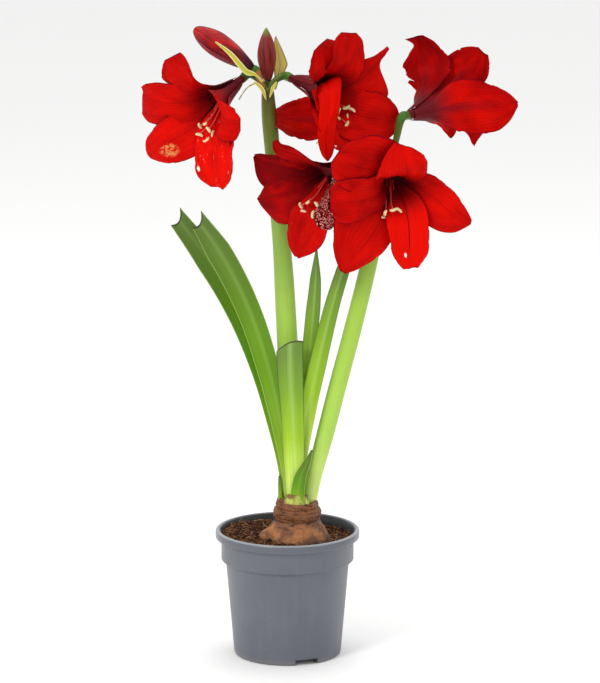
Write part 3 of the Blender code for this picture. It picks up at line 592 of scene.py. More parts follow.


# petals run clockwise from the top as seen from in front of the bloom: root and tip angle, reach off the flower's
# line, height along it, arch, width; edges are rows of (place, half-width on the left, half-width on the right), or the
# two sides at the usual places; the shade value takes a petal from bright to deep red, partly its own tone and partly
# painted shade
blooms = {
    "bloom_left_1": dict(
        foot=(-39.1, 15, 522.1), facing=-32, dip=19, stamens=(190, 24, 66), style=(194, 54, 72),
        petals=(
            petal(318, 333, 55, 64, 12, shade=0.6, edges=(
                (0.5, 13, 7), (0.6, 15, 8), (0.7, 18.5, 10), (0.8, 21.5, 13), (0.9, 20.5, 14), (0.97, 14.5, 12),
                (1, 9, 10))),
            petal(275, 276, 66, 62, 14, shade=0.52, slant=-6,
                  edges=even((21, 21.5, 21.8, 22, 24, 23.5, 19), (21, 20.5, 20, 19.5, 18, 15.5, 11))),
            petal(215, 235, 80, 74, 8, shade=0.3, bruise=1.0, dots=0.15,
                  edges=even((21, 22, 21.8, 20.4, 16.8, 12, 5), (21.5, 22, 21.5, 19, 14.5, 10, 4))),
            petal(168, 176, 71, 74, 8, shade=0.1, dots=0.55, throat=0.4, slant=-4, spot=(0.82, 0.87),
                  edges=even((21, 24.5, 25, 23.5, 18.5, 12, 4), (18.5, 19, 18.5, 18.5, 16.5, 12.5, 7))),
            petal(120, 162, 48, 70, 10, 26, shade=0.3),
            petal(60, 102, 38, 68, 16, shade=0.45, edges=(
                (0.5, 18, 19), (0.6, 19, 20), (0.7, 19, 21), (0.8, 18, 21.5), (0.9, 15.5, 19.5), (0.97, 11, 13.5),
                (1, 6, 7))),
        ),
    ),
    "bloom_left_2": dict(
        foot=(2.5, 15, 522.1), facing=38, dip=6, stamens=(150, 26, 66), style=(186, 44, 72),
        petals=(
            petal(330, 341, 45, 56, 28, shade=0.68, slant=5,
                  edges=even((12, 16, 20.8, 19.6, 17, 13.5, 8), (20, 21, 20.8, 20.5, 20, 17, 12))),
            petal(30, 8, 54, 66, 14, shade=0.6, edges=(
                (0.5, 18.5, 18.5), (0.7, 19, 19), (0.8, 18.5, 18.5), (0.9, 16.5, 17), (0.96, 12.5, 13.5), (1, 7, 7.5))),
            petal(90, 58, 67, 66, 14, shade=0.5, edges=(
                (0.5, 16, 19), (0.6, 17.5, 23), (0.7, 17, 30), (0.76, 16, 29), (0.81, 13, 19), (0.85, 10, 8),
                (0.9, 6.5, 3.5), (0.96, 4, 2.6), (1, 3, 1))),
            petal(150, 117, 75, 71, 8, shade=0.5,
                  edges=even((23, 24, 24, 23, 18.5, 12, 5), (23, 24, 23.8, 22.3, 19, 14, 6))),
            petal(210, 158, 60, 68, 8, 34, shade=0.0),
            petal(262, 246, 17, 56, 2, shade=0.4, purple=0.7, edges=(
                (0.5, 15, 15), (0.7, 15, 15), (0.9, 13, 13), (1, 9, 9))),
        ),
    ),
    # the high shade values of this bloom's petals are partly painted shade, for a bloom that lies in shade
    "bloom_right_1": dict(
        foot=(55.4, -10, 450.8), facing=-35, dip=10, stamens=(190, 28, 62), style=(205, 46, 66),
        petals=(
            petal(320, 312, 40, 64, 8, 14, shade=0.8),
            petal(300, 290, 60, 62, 10, shade=1.0,
                  edges=even((19, 24, 27, 27, 20, 11, 2), (15, 15, 14, 11.5, 7.5, 4.5, 1))),
            petal(240, 250, 60, 66, 10, shade=0.9,
                  edges=even((22, 25, 27, 26.5, 24, 18, 6), (20, 20, 19, 16, 10, 5, 2))),
            petal(180, 197, 71, 66, 8, shade=0.58, dots=0.36, throat=0.5,
                  edges=even((21, 23, 25.5, 25, 19, 12, 4), (17, 17.5, 17, 14.5, 11, 7, 2.5))),
            petal(120, 150, 44, 66, 16, shade=1.15, dots=1.5, throat=0.3, edges=(
                (0.35, 17, 18), (0.45, 18, 20), (0.55, 13, 18), (0.7, 5, 15), (0.8, 6, 15), (0.9, 8, 12), (0.96, 7, 8),
                (1, 4, 3))),
            petal(80, 321, 48, 66, 12, shade=0.85, edges=(
                (0.35, 11, 11), (0.5, 9, 7), (0.7, 7.5, 5.5), (0.8, 7.5, 6), (0.9, 6.5, 5), (0.96, 5, 4), (1, 3, 2.5))),
        ),
    ),
    "bloom_right_2": dict(
        foot=(84.2, -25, 450.5), facing=14, dip=14, stamens=(194, 27, 58), style=(172, 58, 64),
        petals=(
            petal(325, 302, 72, 64, 18, shade=0.68,
                  edges=even((24, 25, 25, 24, 21, 16, 8), (30, 32, 33, 32, 27, 20, 9))),
            petal(20, 354, 48, 70, 20, shade=0.35, slant=-7,
                  edges=even((23, 27, 30, 28.5, 19.5, 12, 6), (15, 16, 17, 18, 16.5, 13, 8))),
            petal(90, 115, 72, 64, 10, shade=0.42,
                  edges=even((17, 17, 16.5, 14.5, 10.5, 6.5, 2), (20, 21.5, 22.5, 22, 18, 12, 3))),
            petal(155, 171, 70, 68, 8, shade=-0.15, midrib=1.0, spot=(0.25, 0.9),
                  edges=even((17.3, 17.9, 17.8, 17.5, 16, 12, 7), (18, 20, 20, 18.5, 14.5, 10, 6))),
            petal(205, 214, 87, 66, 8, shade=0.5,
                  edges=even((21, 19.5, 18.5, 18, 14.5, 9.5, 3), (29, 36, 41, 37, 26, 14, 3))),
            petal(260, 265, 64, 64, 14, shade=0.68,
                  edges=even((14, 14.5, 16, 18, 19.5, 17, 8), (22, 22, 22, 22.5, 22.5, 20.5, 12))),
        ),
    ),
    "bloom_right_3": dict(
        foot=(104.8, 0, 490.3), facing=152, dip=-1, stamens=(250, 16, 60), style=(255, 22, 68),
        petals=(
            petal(30, 16, 66, 58, 20, shade=0.6, ragged=0.12, edges=(
                (0.4, 16, 9), (0.5, 22, 7), (0.6, 26, 9), (0.66, 27.5, 17), (0.7, 28, 20), (0.8, 26, 20.5),
                (0.86, 22, 15), (0.9, 19, 11.5), (0.95, 15, 5.5), (1, 8, 12))),
            petal(330, 319, 68, 64, 14, shade=0.52, ragged=0.2,
                  edges=even((20, 20.5, 20.5, 19, 16, 11, 5), (23, 24, 24, 22, 18, 12.5, 6))),
            petal(275, 275, 80, 64, 6, shade=0.4,
                  edges=even((22, 24, 25.5, 25, 20.5, 12.5, 1.5), (24.5, 25, 24, 21, 14.5, 8.5, 1.5))),
            petal(215, 223, 44, 82, 8, shade=0.2, slant=-5, edges=(
                (0.5, 6, 9), (0.7, 5, 12), (0.8, 4, 14), (0.9, 4.5, 15), (0.96, 6, 14), (1, 5, 11))),
            petal(200, 187, 32, 84, 8, 13, shade=0.35),
            petal(90, 60, 38, 72, 14, shade=0.3, edges=(
                (0.5, 10, 10), (0.6, 8, 8), (0.7, 6, 6), (0.8, 4, 4), (0.9, 3, 3), (1, 2, 2))),
        ),
    ),
    "bloom_right_4": dict(
        foot=(89.2, 30.5, 478.4), facing=-118, dip=0, stamens=(185, 16, 60), style=(180, 20, 68),
        petals=(
            petal(20, 20, 34, 70, 10, 32),
            petal(80, 82, 78, 70, 12, shade=0.35, edges=(
                (0.5, 19, 19), (0.6, 20, 20), (0.7, 18, 18), (0.8, 15, 15), (0.9, 11, 11), (1, 7.5, 7.5))),
            petal(140, 150, 20, 64, 6, 28),
            petal(200, 205, 20, 64, 6, 28),
            petal(260, 260, 38, 74, 8, 34),
            petal(320, 320, 36, 72, 8, 32),
        ),
    ),
}
# one petal of the second bloom hangs out of its throat, over the edge of the tube and down
hangingPetal = {
    "bloom": "bloom_left_2", "startAcross": (-0.81, 0.0, -0.58), "endAcross": (-1.0, 0.0, 0.0), "shade": 0.14,
    "path": ((19, -6, 515), (28, -22, 521), (34.5, -35, 524.5), (36.5, -42, 517), (37, -44, 504), (34.8, -44.5, 487),
             (34.6, -44, 471.5), (35.5, -43, 456.5)),
    "edges": ((0.2, 9, 9), (0.31, 13, 13), (0.4, 11, 11.5), (0.5, 9.5, 9.5), (0.65, 8.3, 8.3), (0.8, 7.6, 7.8),
              (0.91, 6, 6), (0.97, 3.6, 3.6), (1, 1, 1)),
}
petalDefaults = {"edges": None, "slant": 0.0, "ragged": 0.06, "throat": 0.95, "dots": 0.0, "bruise": 0.0,
                 "purple": 0.0, "spot": (0.0, -1.0), "midrib": 0.0}


def bloomFrame(facing, dip):
    turn, tip = math.radians(facing), math.radians(dip)
    line = Vector((math.sin(turn) * math.cos(tip), -math.cos(turn) * math.cos(tip), -math.sin(tip)))
    up = (Vector((0.0, 0.0, 1.0)) - line * line.z).normalized()
    return line, up, up.cross(line)


# half-widths on both sides of a petal, from its own rows of (place, left, right) or from a plain leaf shape
def petalEdges(look, rule):
    places = np.linspace(0.0, 1.0, rule["edgeSteps"])
    if look["edges"] is None:
        widest, blunt = rule["widestAt"], rule["blunt"]
        shape = ((places / widest) ** (blunt * widest / (1 - widest))
                 * (np.clip(1.0 - places, 0.0, 1.0) / (1 - widest)) ** blunt)
        half = look["width"] / 2 * shape
        return half, half
    rows = np.array(((0.0, 6.0, 6.0), *look["edges"]), float)
    slopes = np.gradient(rows[:, 1:], rows[:, 0], axis=0)
    found = [through(rows[:, 1:], slopes, rows[:, 0], place) for place in places]
    return np.clip(np.array(found), 0.0, None).T


def buildPetals(name, bloom, tree, finish, rule):
    line, up, side = bloomFrame(bloom["facing"], bloom["dip"])
    meshes = []
    for index, blade in enumerate(bloom["petals"]):
        look = {**petalDefaults, **blade}
        whorl = 1 if index % 2 else -1
        seed = 3.7 * index + 1.9 * len(name) + 0.01 * abs(bloom["facing"])
        left, right = petalEdges(look, rule)
        course = [(float(step), 0.0, 0.0) for step in range(len(left))]
        width = max(max(left) + max(right), 8.0)
        meshes.append(shapeBy(tree, f"{name}_petal_{index}", {
            **look, "root": math.radians(look["root"]),
            "turn": math.radians((look["tip"] - look["root"] + 180) % 360 - 180), "width": width,
            "mouthRadius": max(0.28 * look["reach"], 15.0), "archHeight": look["height"] + look["arch"],
            "lift": rule["cup"] if whorl > 0 else -0.4 * rule["cup"], "whorl": whorl, "seed": seed,
            "thickness": rule["thickness"], "foot": bloom["foot"], "line": line, "up": up, "side": side,
            "marks": (look["shade"], look["throat"], look["dots"]), "wear": (look["bruise"], seed, look["purple"]),
            "spot": (*look["spot"], look["midrib"]), "finish": finish,
        }, chain(f"{name}_edges", course, left=left, right=right)))
    return meshes


# a petal along its own path, its edges spread across it
def hangingTree(rule):
    graph, given = newTree("hangingPetal", floats=("seed", "thickness"),
                           vectors=("startAcross", "endAcross", "marks", "wear", "spot"))
    curve = graph.add("GeometryNodeMeshToCurve", {}, {"Mesh": given["Geometry"]})
    grid, edge, place = graph.blade(rule["columns"], rule["rows"])
    line, half = petalHalf(graph, curve, place, edge)
    along = graph.unit(line.other("Tangent"))
    across = given["startAcross"] * (1.0 - place) + given["endAcross"] * place
    across = graph.square(across, along)
    inward = graph.cross(across, along)
    wave = graph.grain(edge * 1.2, place * 4.0, given["seed"], 1.0) - 0.5
    keel = graph.ridge(0.2, edge)
    rise = wave * 5.0 * graph.smooth(0.2, 0.5, place) - keel * 0.9 - edge**2.0 * 2.4
    point = line.other("Position") + across * (edge * half) + inward * rise
    sheet = graph.move(grid, point)
    for name in ("marks", "wear", "spot"):
        sheet = keep(graph, sheet, name, given[name])
    thickness = thinned(graph, given["thickness"], edge, place)
    return closeSheet(graph, sheet, thickness, (edge, 0.25 + place * 0.75), given["finish"])


def buildHanging(look, tree, finish, rule):
    path = smoothRoute(look["path"], rule["edgeSteps"])
    left, right = petalEdges(look, rule)
    return shapeBy(tree, "hanging_petal", {
        **look, "seed": 5.0, "thickness": rule["thickness"], "marks": (look["shade"], 0.5, 0.0),
        "wear": (0.0, 5.0, 0.0), "spot": (0.0, -1.0, 0.0), "finish": finish,
    }, chain("hanging", path, left=left, right=right))


# ---- stems, stalks, stamens: round things that follow a chain of points

def stemTree():
    graph, given = newTree("stemShape", floats=("lobes", "wander", "seed", "kind"), integers=("rows", "columns"))
    curve = graph.add("GeometryNodeMeshToCurve", {}, {"Mesh": given["Geometry"]})
    grid, aroundShare, share = graph.sheet(given["columns"], given["rows"])
    place, full = endRows(graph, share, given["rows"])
    sample, lobe = graph.sample(curve, place, "radius"), graph.sample(curve, place, "lobe")
    along = graph.unit(sample.other("Tangent"))
    normal = graph.unit(sample.other("Normal"))
    across = graph.cross(along, normal)
    angle = aroundShare * (2 * math.pi)
    ribs = 1.0 + lobe * given["lobes"] * graph.cosine(angle * 3.0)
    swell = graph.grain(graph.cosine(angle), graph.sine(angle), place * 9.0 + given["seed"], 1.0) - 0.5
    radius = sample * full * (ribs + swell * given["wander"])
    point = sample.other("Position") + graph.spin(normal, across, angle)[0] * radius
    tube = graph.move(grid, point)
    tube = keep(graph, tube, "stem", graph.arrow(aroundShare, place, given["kind"]))
    tube = keep(graph, tube, "lobe", lobe)
    return endTree(graph, joinUp(graph, tube), given["finish"])


def tube(tree, name, points, radii, finish, rows, columns, lobe=None, lobes=0.0, wander=0.0, kind=0.0, seed=0.0):
    lobe = np.zeros(len(points)) if lobe is None else lobe
    source = chain(name, points, radius=radii, lobe=lobe)
    return shapeBy(tree, name, {"lobes": lobes, "wander": wander, "seed": seed, "kind": kind, "rows": rows,
                                "columns": columns, "finish": finish}, source)


stamenLook = {
    "filament": (0.62, 0.010, 0.012), "filamentTip": (0.72, 0.10, 0.07), "anther": (0.92, 0.76, 0.40),
    "stigma": (0.90, 0.80, 0.62), "antherLength": 7.4, "antherRadius": 1.35, "antherGrid": (15, 15),
    "course": ((0.14, 0.0, 1.6), (0.5, 0.2, 3.4), (0.82, 0.75, 5.0), (1.0, 0.88, 7.0)),
    "styleCourse": ((0.13, 0.0), (0.48, 0.15), (0.85, 0.7), (1.0, 1.0)),
}


def stamenFinish(look):
    material, graph, shader = newFinish("filament", Roughness=0.38, Specular_IOR_Level=0.5, Subsurface_Weight=0.1,
                                        Subsurface_Radius=(0.003, 0.001, 0.0005), Subsurface_Scale=0.5)
    around, place, kind = attribute(graph, "stem")
    mottled = graph.grain(around * 6.0, place * 40.0, kind, 2.0)
    tone = graph.between(graph.smooth(0.45, 1.0, place + (mottled - 0.5) * 0.2), look["filament"], look["filamentTip"])
    pale = graph.between(mottled, look["stigma"], darker(look["stigma"], 0.8))
    tone = graph.between(kind > 0.5, tone, pale)
    dress(graph, shader, tone, bump=(mottled, 0.3, 0.0002))
    return material


def antherFinish(look):
    material, graph, shader = newFinish("anther", Specular_IOR_Level=0.25, Sheen_Weight=0.2)
    where = graph.here()
    dust = graph.noise(where, 1600.0, 3.0, 0.7)
    tone = graph.between(graph.smooth(0.3, 0.75, dust), darker(look["anther"], 0.62), look["anther"])
    dress(graph, shader, tone, graph.ramp(dust, 0.3, 0.7, 0.65, 0.9), (dust, 0.7, 0.0003))
    return material


# an anther is a bent bean with a groove along it
def antherTree(look):
    graph, given = newTree("antherShape", floats=("length", "radius", "bend", "seed"), vectors=("place", "lie", "side"))
    grid, aroundShare, share = graph.sheet(*look["antherGrid"])
    angle = aroundShare * (2 * math.pi)
    thick = graph.root(graph.most(1.0 - (share * 2.0 - 1.0) ** 4.0, 0.0))
    groove = 1.0 - 0.28 * graph.smooth(0.6, 1.0, graph.cosine(angle))
    bumps = graph.grain(share * 9.0, graph.cosine(angle) * 2.0, given["seed"], 1.0) * 0.3 + 0.85
    radius = given["radius"] * thick * groove * bumps
    third = graph.cross(given["lie"], given["side"])
    arc = given["bend"] * (1.0 - (share * 2.0 - 1.0) ** 2.0)
    point = (given["place"] + given["lie"] * (given["length"] * (share - 0.5)) + given["side"] * arc
             + graph.spin(given["side"], third, angle)[0] * radius)
    bean = graph.move(grid, point)
    return endTree(graph, joinUp(graph, bean, turned=True), given["finish"])


def buildStamens(name, bloom, stems, beans, filament, anther, look):
    line, up, side = (np.array(v) for v in bloomFrame(bloom["facing"], bloom["dip"]))
    foot = np.array(bloom["foot"], float)

    def mouth(degrees):
        return math.cos(math.radians(degrees)) * up + math.sin(math.radians(degrees)) * side

    meshes = []
    angle, reach, height = bloom["stamens"]
    for index in range(6):
        around = 60 * index
        uneven = 1.0 + 0.05 * math.sin(2.4 * index + bloom["facing"])
        ends = [foot + line * height * uneven * rise + mouth(angle) * reach * droop + mouth(around) * apart
                for rise, droop, apart in look["course"]]
        points = smoothRoute(ends, 14)
        meshes.append(tube(stems, f"{name}_filament", points, spread((0.8, 0.7, 0.62, 0.5), 14), filament, 16, 9))
        lie = Vector(mouth(around + 60) + 0.5 * line).normalized()
        across = lie.cross(Vector(line)).normalized()
        meshes.append(shapeBy(beans, f"{name}_anther", {
            "length": look["antherLength"], "radius": look["antherRadius"], "bend": 0.9 * (-1) ** index,
            "seed": index + bloom["facing"], "place": points[-1], "lie": lie, "side": across, "finish": anther}))
    angle, reach, height = bloom["style"]
    ends = [foot + line * height * rise + mouth(angle) * reach * droop for rise, droop in look["styleCourse"]]
    points = smoothRoute(ends, 18)
    meshes.append(tube(stems, f"{name}_style", points, spread((0.9, 0.75, 0.7, 0.75), 18), filament, 20, 9))
    end, way = points[-1], points[-1] - points[-2]
    way = way / np.linalg.norm(way)
    for lobe in range(3):
        out = mouth(90 + 120 * lobe)
        route = (end - way * 1.0, end + way * 1.2 + out * 0.8, end + way * 2.2 + out * 2.4, end + way * 1.6 + out * 3.4)
        meshes.append(tube(stems, f"{name}_stigma", smoothRoute(route, 8), spread((0.7, 0.8, 0.8, 0.45), 8), filament,
                           9, 8, kind=1.0))
    return meshes


# a slim tube inside the petals, from the seed case on, so that no light shows between their roots
throatLook = {"heights": (1.0, 9.0, 14.0, 20.0, 26.0), "radii": (3.5, 4.1, 4.3, 4.7, 5.2)}


def throatFinish(look):
    material, graph, shader = newFinish("throatSkin", Roughness=0.5, Specular_IOR_Level=0.05)
    around, place, _ = attribute(graph, "stem")
    ribs = graph.grain(around * 30.0, place * 2.0, 1.0, 2.0)
    dress(graph, shader, graph.between(graph.smooth(0.4, 0.7, ribs) * 0.5, look["tube"], look["rib"]))
    return material


def buildThroat(name, bloom, tree, finish, look):
    line = bloomFrame(bloom["facing"], bloom["dip"])[0]
    points = [Vector(bloom["foot"]) + line * height for height in look["heights"]]
    return tube(tree, f"{name}_throat", smoothRoute(points, 20), spread(look["radii"], 20), finish, 24, 17)


petalMaterial, throatMaterial = petalFinish(petalLook), throatFinish(petalLook)
filamentMaterial, antherMaterial = stamenFinish(stamenLook), antherFinish(stamenLook)
petalShape, stemShape, antherShape = petalTree(petalRule), stemTree(), antherTree(stamenLook)
for bloomName, bloom in blooms.items():
    bloomMeshes = buildPetals(bloomName, bloom, petalShape, petalMaterial, petalRule)
    if bloomName == hangingPetal["bloom"]:
        bloomMeshes.append(buildHanging(hangingPetal, hangingTree(petalRule), petalMaterial, petalRule))
    bloomMeshes.append(buildThroat(bloomName, bloom, stemShape, throatMaterial, throatLook))
    showPiece("petals_" + bloomName, bloomMeshes, "petal", bloomName)
    showPiece("stamens_" + bloomName,
              buildStamens(bloomName, bloom, stemShape, antherShape, filamentMaterial, antherMaterial, stamenLook),
              "petal", bloomName)
print("six blooms, with their petals, stamens and styles")


# ---- flower stems with their stalks and seed cases

def stalk(to, *route):
    return dict(to=to, route=route)


stemLook = {
    "top": (0.085, 0.085, 0.012), "middle": (0.23, 0.38, 0.055), "foot": (0.42, 0.66, 0.08),
    "case": (0.045, 0.135, 0.012), "stalk": (0.075, 0.115, 0.012), "warm": (0.36, 0.13, 0.03),
    "stalkDiameters": (6.5, 5.4, 5.6, 6.6, 8.4, 7.4), "budStalkDiameters": (6.5, 5.4, 5.6, 6.2, 7.0, 4.6),
    "caseLength": 9.0, "budCaseLength": 5.0,
}
scapes = {
    "scape_left": dict(
        route=((5.5, 8.2, 131.5), (4.5, 9.5, 180), (2.5, 11, 235), (-0.5, 12, 293), (-4, 13, 359),
               (-10, 14, 425), (-15, 15, 478), (-17, 15, 506), (-17, 15, 514)),
        diameters=(13, 17.5, 19, 18.8, 18, 15.5, 13.6, 14, 10), kind=0.0,
        stalks=(
            stalk("bloom_left_1", (-17, 15, 508), (-23.5, 14.6, 519)),
            stalk("bloom_left_2", (-17, 15, 508), (-12.5, 15.4, 518)),
            stalk("bud_left_1", (-17, 15, 508), (-23, 13.6, 518)),
            stalk("bud_left_2", (-17, 15, 508)),
        ),
    ),
    "scape_right": dict(
        route=((19, 1.8, 133), (24.5, 2.4, 165), (32.7, 2.5, 197), (43.7, 1.5, 241), (57.8, 0.5, 296),
               (70.8, 0, 350), (83, 0, 410), (90, 0, 446), (91, 0, 456)),
        diameters=(12, 14.3, 15.8, 16, 15.8, 15.2, 14.4, 14, 10), kind=1.0,
        stalks=(
            stalk("bloom_right_1", (91, 0, 450), (82, -0.5, 459), (72, -4, 460)),
            stalk("bloom_right_2", (91, 0, 450), (88.5, -4, 459)),
            stalk("bloom_right_3", (91, 0, 450), (94.5, -3, 462), (97, -6, 474)),
            stalk("bloom_right_4", (91, 0, 450), (95, 12, 462), (98, 23, 473)),
        ),
    ),
}
buds = {
    "bud_left_1": dict(foot=(-31.4, 15, 531.5), tip=(-82, 11, 566.5), diameter=21.5, widest=0.6, swirl=0.7, blunt=0.52,
                       kind=0.0),
    "bud_left_2": dict(foot=(-17.4, 21.8, 518.4), tip=(-18.7, 21, 566), diameter=16, widest=0.48, swirl=0.3, blunt=0.85,
                       kind=1.0),
}


def stemFinish(look):
    material, graph, shader = newFinish("stemSkin", Specular_IOR_Level=0.28, Subsurface_Weight=0.08,
                                        Subsurface_Radius=(0.002, 0.003, 0.001), Subsurface_Scale=0.6)
    around, place, kind = attribute(graph, "stem")
    lobe = attribute(graph, "lobe")[0]
    # a stem's kind is 0 on the left, 1 on the right, and 2 and up on a flower stalk
    isStalk = kind > 1.5
    height = place + (graph.grain(around * 3.0, place * 7.0, kind, 2.0) - 0.5) * 0.16
    leftTone = graph.colours(height, (0.0, (0.60, 0.80, 0.18)), (0.3, look["foot"]), (0.6, look["middle"]),
                             (0.85, (0.17, 0.25, 0.035)), (0.98, look["top"]))
    rightTone = graph.colours(height, (0.0, (0.72, 0.86, 0.26)), (0.22, (0.38, 0.60, 0.085)),
                              (0.55, (0.33, 0.53, 0.06)), (0.85, (0.20, 0.34, 0.045)), (1.0, (0.09, 0.15, 0.02)))
    tone = graph.between(kind, leftTone, rightTone)
    streaks = graph.grain(around * 46.0, place * 9.0, kind, 3.0)
    tone = graph.between(graph.smooth(0.52, 0.75, streaks) * 0.16, tone, look["top"])
    stalkTone = graph.between(graph.smooth(2.5, 3.5, kind), look["stalk"], look["warm"])
    caseTone = graph.between(graph.smooth(0.4, 0.7, streaks) * 0.5, look["case"], darker(look["case"], 0.6))
    stalkTone = graph.between(graph.smooth(0.2, 0.9, lobe), stalkTone, caseTone)
    tone = graph.between(isStalk, tone, stalkTone)
    dusting = graph.grain(around * 5.0, place * 14.0, kind + 4.0, 3.0)
    where = graph.here()
    grain = graph.noise(where, 900.0, 2.0)
    dress(graph, shader, tone, graph.ramp(dusting, 0.3, 0.7, 0.34, 0.5), (streaks * 0.8 + grain * 0.35, 0.3, 0.0005))
    return material


def flowerFoot(name, look):
    if name in blooms:
        bloom = blooms[name]
        line = np.array(bloomFrame(bloom["facing"], bloom["dip"])[0])
        return np.array(bloom["foot"], float), line, look["caseLength"]
    foot, tip = np.array(buds[name]["foot"], float), np.array(buds[name]["tip"], float)
    return foot, (tip - foot) / np.linalg.norm(tip - foot), look["budCaseLength"]


def buildScape(name, scape, tree, finish, look):
    points = smoothRoute(scape["route"], 60)
    meshes = [tube(tree, name, points, spread(scape["diameters"], 60) / 2, finish, 120, 37, wander=0.05,
                   kind=scape["kind"], seed=2.0 + scape["kind"])]
    for index, branch in enumerate(scape["stalks"]):
        foot, line, case = flowerFoot(branch["to"], look)
        ends = (foot - line * case, foot + line * 2.0)
        points = smoothRoute((*branch["route"], *ends), 40)
        radii = spread(look["stalkDiameters" if branch["to"] in blooms else "budStalkDiameters"], 40) / 2
        lobe = np.clip((np.linspace(0, 1, 40) - 0.62) / 0.14, 0, 1)
        warm = 4.0 if branch["to"] == "bud_left_1" else 2.0
        meshes.append(tube(tree, f"{name}_stalk", points, radii, finish, 60, 25, lobe=lobe, lobes=0.09, wander=0.04,
                           kind=warm, seed=index))
    return meshes


stemMaterial = stemFinish(stemLook)
for scapeName, scape in scapes.items():
    showPiece("stem_" + scapeName, buildScape(scapeName, scape, stemShape, stemMaterial, stemLook), "scape", scapeName)
print("two flower stems with eight stalks and seed cases")


# ---- closed buds: three petals wrapped round each other, over a core

budLook = {
    "skin": (0.20, 0.004, 0.007), "fresh": (0.56, 0.008, 0.008), "ridge": (0.030, 0.002, 0.006),
    "stripe": (0.050, 0.006, 0.022), "green": (0.17, 0.20, 0.035), "amber": (0.22, 0.030, 0.018), "grid": (27, 54),
}


def budTree(look):
    graph, given = newTree("budShape",
                           floats=("length", "radius", "widest", "blunt", "middle", "span", "step", "swirl", "seed"),
                           vectors=("foot", "line", "up", "side", "marks"))
    grid, edge, share = graph.blade(*look["grid"])
    place = 1.0 - (1.0 - share) ** 1.4
    upper = graph.most((place - given["widest"]) / (1.0 - given["widest"]), 0.0)
    upperShare = graph.most(graph.cosine(upper * (math.pi / 2)), 0.0) ** given["blunt"]
    lower = graph.least(place / given["widest"], 1.0)
    lowerShare = 0.34 + 0.66 * graph.sine(lower * (math.pi / 2))
    isUpper = place > given["widest"]
    shape = upperShare * isUpper + lowerShare * (1.0 - isUpper)
    wrinkles = graph.grain(edge * 5.0, place * 2.6, given["seed"], 2.0) - 0.5
    radius = shape * (given["radius"] - 0.6 + given["step"] * edge + wrinkles * 1.3)
    narrowed = 1.0 - 0.25 * graph.smooth(0.7, 1.0, place)
    angle = given["middle"] + given["span"] * edge * narrowed + given["swirl"] * place
    out = graph.spin(given["up"], given["side"], angle)[0]
    keel = graph.ridge(0.12, edge) * 0.5 * shape
    point = given["foot"] + given["line"] * (given["length"] * place) + out * (radius + keel)
    sheet = graph.move(grid, point)
    sheet = keep(graph, sheet, "marks", given["marks"])
    return closeSheet(graph, sheet, thinned(graph, petalRule["thickness"], edge, share), (edge, place), given["finish"])


def budFinish(look):
    material, graph, shader = newFinish("budSkin", Specular_IOR_Level=0.2)
    across, place, _ = attribute(graph, "blade")
    kind, seed, _ = attribute(graph, "marks")
    streaks = graph.grain(across * 22.0, place * 3.0, seed, 3.0)
    patch = graph.grain(across * 2.0, place * 4.0, seed, 2.0)
    tone = graph.between(graph.smooth(0.35, 0.7, patch), look["skin"], look["fresh"])
    tone = graph.between(graph.smooth(0.5, 0.7, streaks) * 0.4, tone, look["ridge"])
    keel = 1.0 - graph.smooth(0.0, 0.16, graph.size(across) + (streaks - 0.5) * 0.08)
    tone = graph.between(keel * 0.8, tone, look["stripe"])
    tone = graph.between(graph.smooth(0.45, 0.08, place + (patch - 0.5) * 0.3), tone, look["stripe"])
    amber = graph.between(graph.smooth(0.4, 0.65, streaks), look["amber"], look["skin"])
    amber = graph.between(keel * 0.75, amber, look["stripe"])
    amber = graph.between(graph.smooth(0.8, 0.97, place), amber, look["green"])
    tone = graph.between(kind, tone, amber)
    rim = graph.smooth(0.93, 0.99, graph.size(across))
    tone = graph.between(rim * 0.6, tone, look["ridge"])
    dress(graph, shader, tone, graph.ramp(streaks, 0.3, 0.7, 0.36, 0.52), (streaks, 0.5, 0.0006))
    return material


def buildBud(name, bud, tree, stems, finish):
    foot, tip = Vector(bud["foot"]), Vector(bud["tip"])
    line = (tip - foot).normalized()
    up = (Vector((0.0, -1.0, 0.0)) - line * line.y * -1.0).normalized()
    side = up.cross(line)
    meshes = []
    for index in range(3):
        seed = 2.0 * index + 5.0 * bud["kind"]
        meshes.append(shapeBy(tree, f"{name}_wrap", {
            **bud, "length": (tip - foot).length, "radius": bud["diameter"] / 2,
            "middle": math.radians(120 * index + 10), "span": math.radians(78), "step": 0.7, "seed": seed,
            "line": line, "up": up, "side": side, "marks": (bud["kind"], seed, 0.0), "finish": finish}))
    core = [foot + line * ((tip - foot).length * share) for share in np.linspace(0.01, 0.96, 16)]
    widths = [bud["diameter"] / 2 * 0.8 * math.sin(math.pi * (0.1 + 0.86 * share)) ** 0.7
              for share in np.linspace(0, 1, 16)]
    meshes.append(tube(stems, f"{name}_core", core, widths, finish, 18, 17))
    return meshes


budShape, budMaterial = budTree(budLook), budFinish(budLook)
for budName, bud in buds.items():
    showPiece("petals_" + budName, buildBud(budName, bud, budShape, stemShape, budMaterial), "bud", budName)
print("two closed buds")
